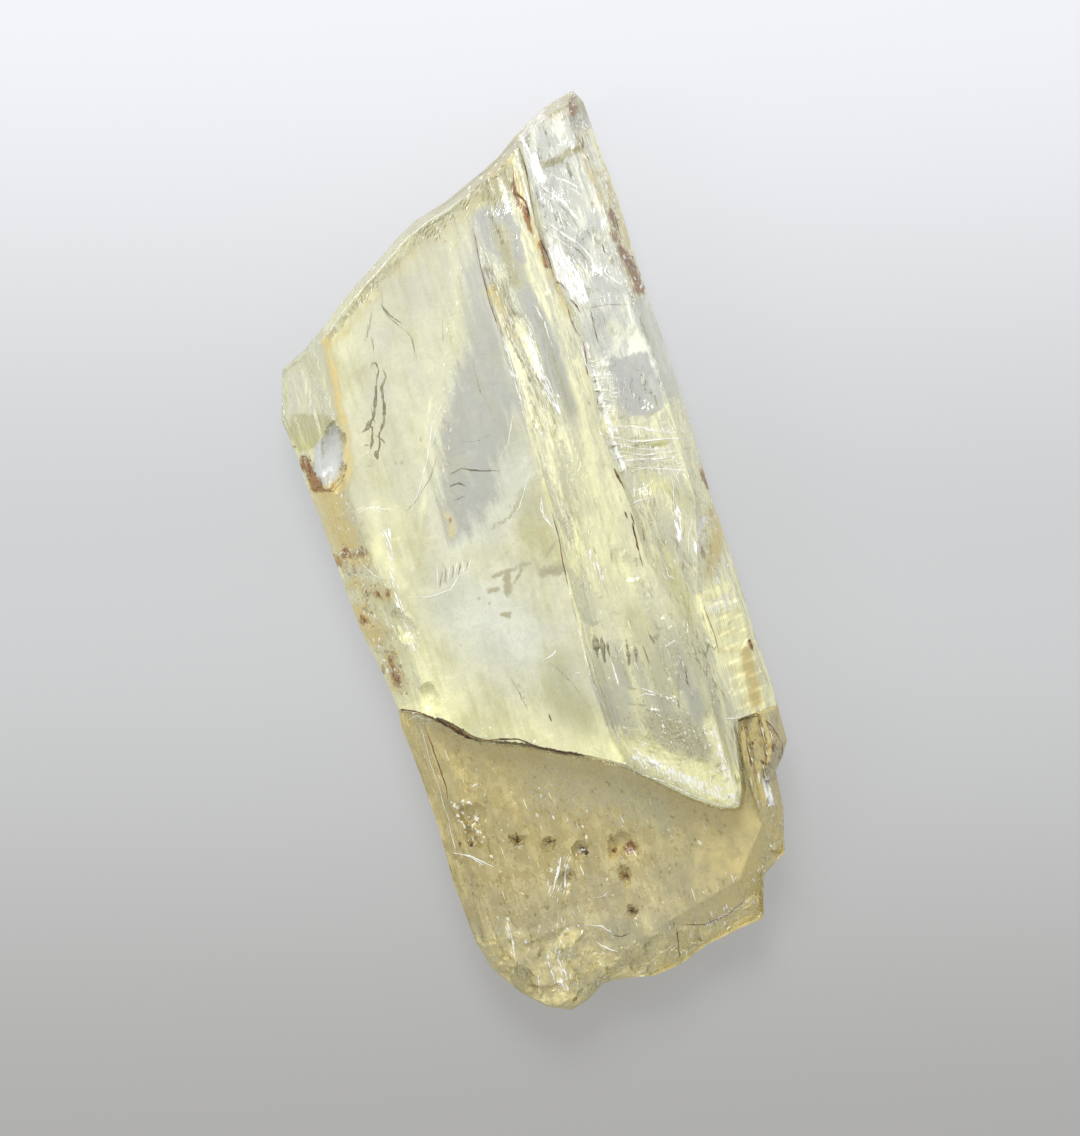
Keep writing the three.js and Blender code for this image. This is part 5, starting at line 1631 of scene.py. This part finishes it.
# %% [markdown]
# ## Fracture flakes
#
# Spodumene splits easily, and knocks have opened thousands of tiny flat films in the stone. Seen
# one way a film flashes white, seen another it is grey. They give the crystal its crisp sparkle.
# Each one is a flat lens with an uneven rim, on the surface or just under it. A table says how many
# lie in each part of the stone, how long they are and how they lie, and all are one mesh with a
# tone per vertex.

# %% Where the flakes lie
# Outline, count, half length and half width in mm, heading and spread in degrees from the blade's
# length, greatest depth in mm, lowest and highest tone (0 dark brown, 0.4 grey, 1 white).
FLAKE_ZONES = [
    ([(8.5, 22.4), (9.4, 21.6), (10.6, 21), (10.9, 19.4), (10.5, 17.7), (9.3, 17.8), (8.4, 19.8)],
      120, 0.55, 0.09, 25, 15, 0.1, 0.7, 1),
    ([(9, 31), (12.8, 31), (13.2, 24), (13.4, 14), (10.6, 13.4), (8.8, 17), (8.5, 24)],
      170, 0.42, 0.045, 28, 22, 0.5, 0.4, 1),
    ([(13, 30.4), (14.2, 30.8), (14.7, 24), (14.6, 16.6), (13.6, 16.6), (13.4, 22), (13, 26)],
      420, 0.34, 0.13, 10, 40, 0.1, 0.5, 1),
    ([(13.5, 20.3), (14.3, 20), (14.5, 16.9), (13.8, 16.8)], 90, 0.26, 0.13, 10, 40, 0.05, 0, 0.3),
    ([(13.4, 23.4), (14.1, 23.2), (14.1, 21), (13.5, 21)], 26, 0.2, 0.1, 10, 40, 0.05, 0.05, 0.3),
    ([(3.5, 24), (4.6, 20.4), (5, 14), (5.7, 10), (4.6, 8.4), (3.1, 9.6), (3, 16)],
      460, 1.1, 0.08, 0, 8, 0.1, 0.42, 1),
    ([(6.9, 26), (7.8, 23), (8.2, 16), (8.2, 5), (6.8, 5), (6.9, 16)],
      170, 0.5, 0.05, 0, 10, 0.1, 0.5, 0.9),
    ([(2.7, 4), (8.1, 4), (8.2, -6), (9, -14), (3, -9)], 300, 0.7, 0.08, 0, 18, 0.15, 0.5, 0.95),
    ([(8.6, 3), (13.8, 3), (13, -5.8), (11.2, -6.6), (10.6, -14), (8.6, -8)],
      440, 0.55, 0.09, 0, 24, 0.15, 0.4, 0.98),
    ([(2.4, -14), (4.4, -12), (8, -15), (9.4, -14.5), (9.5, -22), (6, -19.6), (3.2, -17)],
      420, 0.24, 0.14, 0, 90, 0.1, 0.8, 1),
    ([(-12.2, -7), (-9.6, -8.6), (-8, -10.3), (-5, -11.4), (-2, -12.9), (0.8, -14.6), (4.6, -17.4),
      (9, -21), (9, -22.2), (4.2, -18.8), (0.4, -15.9), (-2.6, -14.2), (-5, -12.7), (-8, -11.9),
      (-10, -10.1), (-12.4, -8.1)], 520, 0.22, 0.1, 60, 60, 0.05, 0.6, 1),
    ([(-12.4, -9.4), (-8, -12.6), (-1, -16.2), (4, -19.9), (9, -23), (10, -26), (6, -28.6), (-3, -28),
      (-9, -26), (-12, -22)], 700, 0.3, 0.15, 0, 50, 0.2, 0.4, 0.8),
    ([(-12, -10), (-8, -13), (-1, -17), (2, -22), (0, -28), (-9, -26), (-11.8, -20)],
      110, 0.14, 0.06, 0, 60, 0.05, 0.15, 0.4),
    ([(-11.2, -15.2), (-9.3, -15.6), (-9.6, -19), (-10.8, -18.6)], 75, 0.3, 0.2, 30, 60, 0.02, 0.65, 1),
    ([(-10.6, -24.4), (-5, -26.8), (-1, -28.6), (5, -29.2), (9, -26.6), (12, -24.6), (12, -27), (6, -31.2),
      (0, -31.8), (-7, -32.2), (-10.4, -28)], 620, 0.38, 0.1, 0, 35, 0.1, 0.45, 1),
    ([(-13.8, 9.4), (-11.6, 9.4), (-10.6, 4), (-10.2, -7), (-12.2, -7.2), (-13.2, 2)],
      420, 0.28, 0.09, -8, 30, 0.1, 0.4, 0.95),
    ([(-14.1, 13.2), (-13.3, 12.4), (-13.2, 10.2), (-14, 10.4)], 60, 0.2, 0.12, 0, 50, 0.02, 0.05, 0.35),
    ([(-14, 5.2), (-11.8, 5), (-10.6, 1.2), (-13.2, 0.4)], 130, 0.34, 0.12, 0, 70, 0.02, 0.2, 0.75),
    ([(-13.6, 1), (-12.1, 0.5), (-11.2, -2.7), (-11.9, -5.9), (-13.1, -5.5), (-13.4, -1.5)],
      110, 0.3, 0.14, 0, 70, 0.02, 0.3, 0.9),
    ([(-12.7, -2.4), (-11.7, -2.6), (-11.5, -6.6), (-12.5, -6.4)], 60, 0.2, 0.1, 0, 40, 0.02, 0.12, 0.4),
    ([(10.4, -16.2), (14.5, -16), (14.4, -20), (13, -24), (10.8, -25.4), (9.9, -23)],
      240, 0.65, 0.07, 0, 8, 0.1, 0.35, 0.95),
    ([(11.3, -16.3), (12.9, -16.2), (13.7, -17.8), (13.4, -19.8), (11.4, -21)],
      90, 0.35, 0.12, 0, 25, 0.05, 0.08, 0.42),
    ([(-10, 18), (-5, 22), (1.6, 24), (-5, 8), (1.8, 0), (1.6, -11), (-8, -9), (-9.8, 0)],
      170, 0.12, 0.05, 0, 40, 0.02, 0.42, 0.62),
    ([(4, 27.3), (9, 30), (13, 31.2), (14.2, 32.4), (12.6, 32.8), (8, 31), (4, 28.9)],
      260, 0.3, 0.1, -60, 30, 0.05, 0.42, 0.9),
    ([(-9.6, 20.4), (-4, 23.7), (0.6, 26.2), (0.4, 27.2), (-4.6, 24.8), (-10, 21.2)],
      220, 0.3, 0.08, -58, 20, 0.05, 0.42, 0.8),
    ([(8.5, 13.6), (10, 13), (10.2, 8), (8.6, 8)], 150, 0.5, 0.07, 82, 10, 0.05, 0.6, 1),
    ([(8.5, 8), (13.4, 8), (13.7, 3.4), (8.7, 3.6)], 90, 0.95, 0.12, 84, 7, 0.1, 0.55, 0.95),
    ([(12.3, -2), (13.1, -0.7), (14.3, -0.3), (14.7, -2.3), (14.4, -4.8), (12.4, -4.4)],
      90, 0.3, 0.1, 10, 50, 0.05, 0.5, 1),
    ([(1.9, 26), (2.6, 26), (1.3, 20.8), (-0.6, 15.9), (-2.4, 11.8), (-4.2, 8), (-5.6, 5.6), (-5.9, 6),
      (-4.9, 8.6), (-3.6, 11.8), (-1.8, 16), (0.1, 20.8)], 230, 0.32, 0.08, -20, 22, 0.02, 0.6, 0.86),
    ([(-12, -10), (-8, -13), (-1, -17), (5, -21), (9.4, -23.6), (8, -28), (0, -29), (-9, -27), (-12, -20)],
      110, 0.9, 0.08, 2, 7, 0.1, 0.68, 0.92),
    ([(-6.5, -24.2), (-5.6, -24.9), (-3.9, -22.1), (-4.5, -21.4)], 50, 0.45, 0.07, -28, 14, 0.02, 0.8, 1)]
CRUMB_RADIUS = 0.5                 # mm, how far the crumbs in a pit of the lower shelf spread
FLAKE_ZONES += [
    ([(px + CRUMB_RADIUS * math.cos(a), py + CRUMB_RADIUS * math.sin(a)) for a in range(6)],
     24, 0.30, 0.08, 0, 90, 0.01, 0.0, 1.0) for px, py, _ in PITS]
print("flakes lie in", len(FLAKE_ZONES), "zones")


# %% Build the flakes
FLAKE_RIM = 7                      # corners of the rim
FLAKE_HALF_THICKNESS = 0.02
FLAKE_SEED = 300
SMALLEST_FLAKE = 0.3               # as a share of the length and width given for its zone
EDGE_ROOM = 0.06                   # mm that every corner keeps from the outer edge


def scatter(outline, count, random):
    """At most count points spread evenly inside an outline; points outside it are dropped."""
    corners = np.array(outline, float)
    low, high = corners.min(0), corners.max(0)
    spots = low + (high - low) * random.random((5 * count, 2))
    return spots[outline_depth(spots[:, 0], spots[:, 1], outline) > 0][:count]


def flakes(outline, count, length, width, heading, spread, deepest, low_tone, high_tone, seed):
    """Points, faces and tones of the flat flakes in one zone.

    A rim corner is at an angle near 2 pi k / 7, a random share of length and width from the
    middle, and follows the front surface. Two middle points above and below close the lens.
    """
    random = np.random.default_rng(seed)
    spots = scatter(outline, count, random)
    n = len(spots)
    turn = np.radians(heading + spread * (2 * random.random((n, 1)) - 1))
    size = SMALLEST_FLAKE + (1 - SMALLEST_FLAKE) * random.random((n, 1)) ** 2
    share = size * (0.5 + 0.5 * random.random((n, FLAKE_RIM)))
    angle = 2 * np.pi * (np.arange(FLAKE_RIM) + 0.7 * random.random((n, FLAKE_RIM))) / FLAKE_RIM
    along, across = length * share * np.cos(angle), width * share * np.sin(angle)
    x = spots[:, :1] + across * np.cos(turn) - along * np.sin(turn)
    y = spots[:, 1:] + across * np.sin(turn) + along * np.cos(turn)
    x, y = np.hstack([x, spots[:, :1], spots[:, :1]]), np.hstack([y, spots[:, 1:], spots[:, 1:]])
    inside = edge_room(x, y).min(1) > EDGE_ROOM
    x, y, n = x[inside], y[inside], inside.sum()
    z = front_height(x, y) - deepest * random.random((n, 1)) ** 2
    z[:, FLAKE_RIM] += FLAKE_HALF_THICKNESS
    z[:, FLAKE_RIM + 1] -= FLAKE_HALF_THICKNESS
    k = np.arange(FLAKE_RIM)
    after = (k + 1) % FLAKE_RIM
    one = np.concatenate([np.stack([k, after, np.full_like(k, FLAKE_RIM)], -1),
                          np.stack([after, k, np.full_like(k, FLAKE_RIM + 1)], -1)])
    faces = (one[None] + (FLAKE_RIM + 2) * np.arange(n)[:, None, None]).reshape(-1, 3)
    draw = 0.5 - 0.5 * np.cos(np.pi * random.random((n, 1)))
    tones = low_tone + (high_tone - low_tone) * draw + np.zeros(x.shape)
    return np.stack([x, y, z], -1).reshape(-1, 3), faces, tones.ravel()


parts = [flakes(*zone, FLAKE_SEED + i) for i, zone in enumerate(FLAKE_ZONES)]
starts = np.cumsum([0] + [len(points) for points, _, _ in parts[:-1]])
faces = np.concatenate([faces + start for (_, faces, _), start in zip(parts, starts)])
films = mesh_object("fracture_flakes", np.concatenate([points for points, _, _ in parts]), faces.tolist())
store(films, "tone", np.concatenate([tones for _, _, tones in parts]))
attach(films, "root")
print("flakes:", len(films.data.polygons) // (2 * FLAKE_RIM))

# %% Material of the flakes
# Tone and colour, from iron-stained to white.
FLAKE_COLORS = [(0.0, (0.11, 0.06, 0.022)), (0.22, (0.36, 0.22, 0.08)), (0.42, (0.42, 0.40, 0.27)),
                (0.62, (0.66, 0.63, 0.42)), (0.82, (0.88, 0.86, 0.66)), (1.0, (0.98, 0.98, 0.95))]


def flake_material():
    """A glossy film whose colour comes from its tone, a little uneven with grain."""
    material, shader = principled("fracture_film", (0.8, 0.8, 0.7), 0.2)
    tree = material.node_tree
    place = add(tree, "ShaderNodeTexCoord").outputs["Object"]
    coarse, fine = grain(tree, place, 0.3, 2.0)
    tone = calc("MULTIPLY_ADD", calc("SUBTRACT", fine, 0.5), 0.3, mask(tree, "tone"))
    tree.links.new(color_ramp(tree, tone, FLAKE_COLORS), shader.inputs["Base Color"])
    bump(tree, coarse, 0.3, FILM_BUMPS, shader)
    return material


films.data.materials.append(flake_material())
print("flakes go through", len(FLAKE_COLORS), "colours")
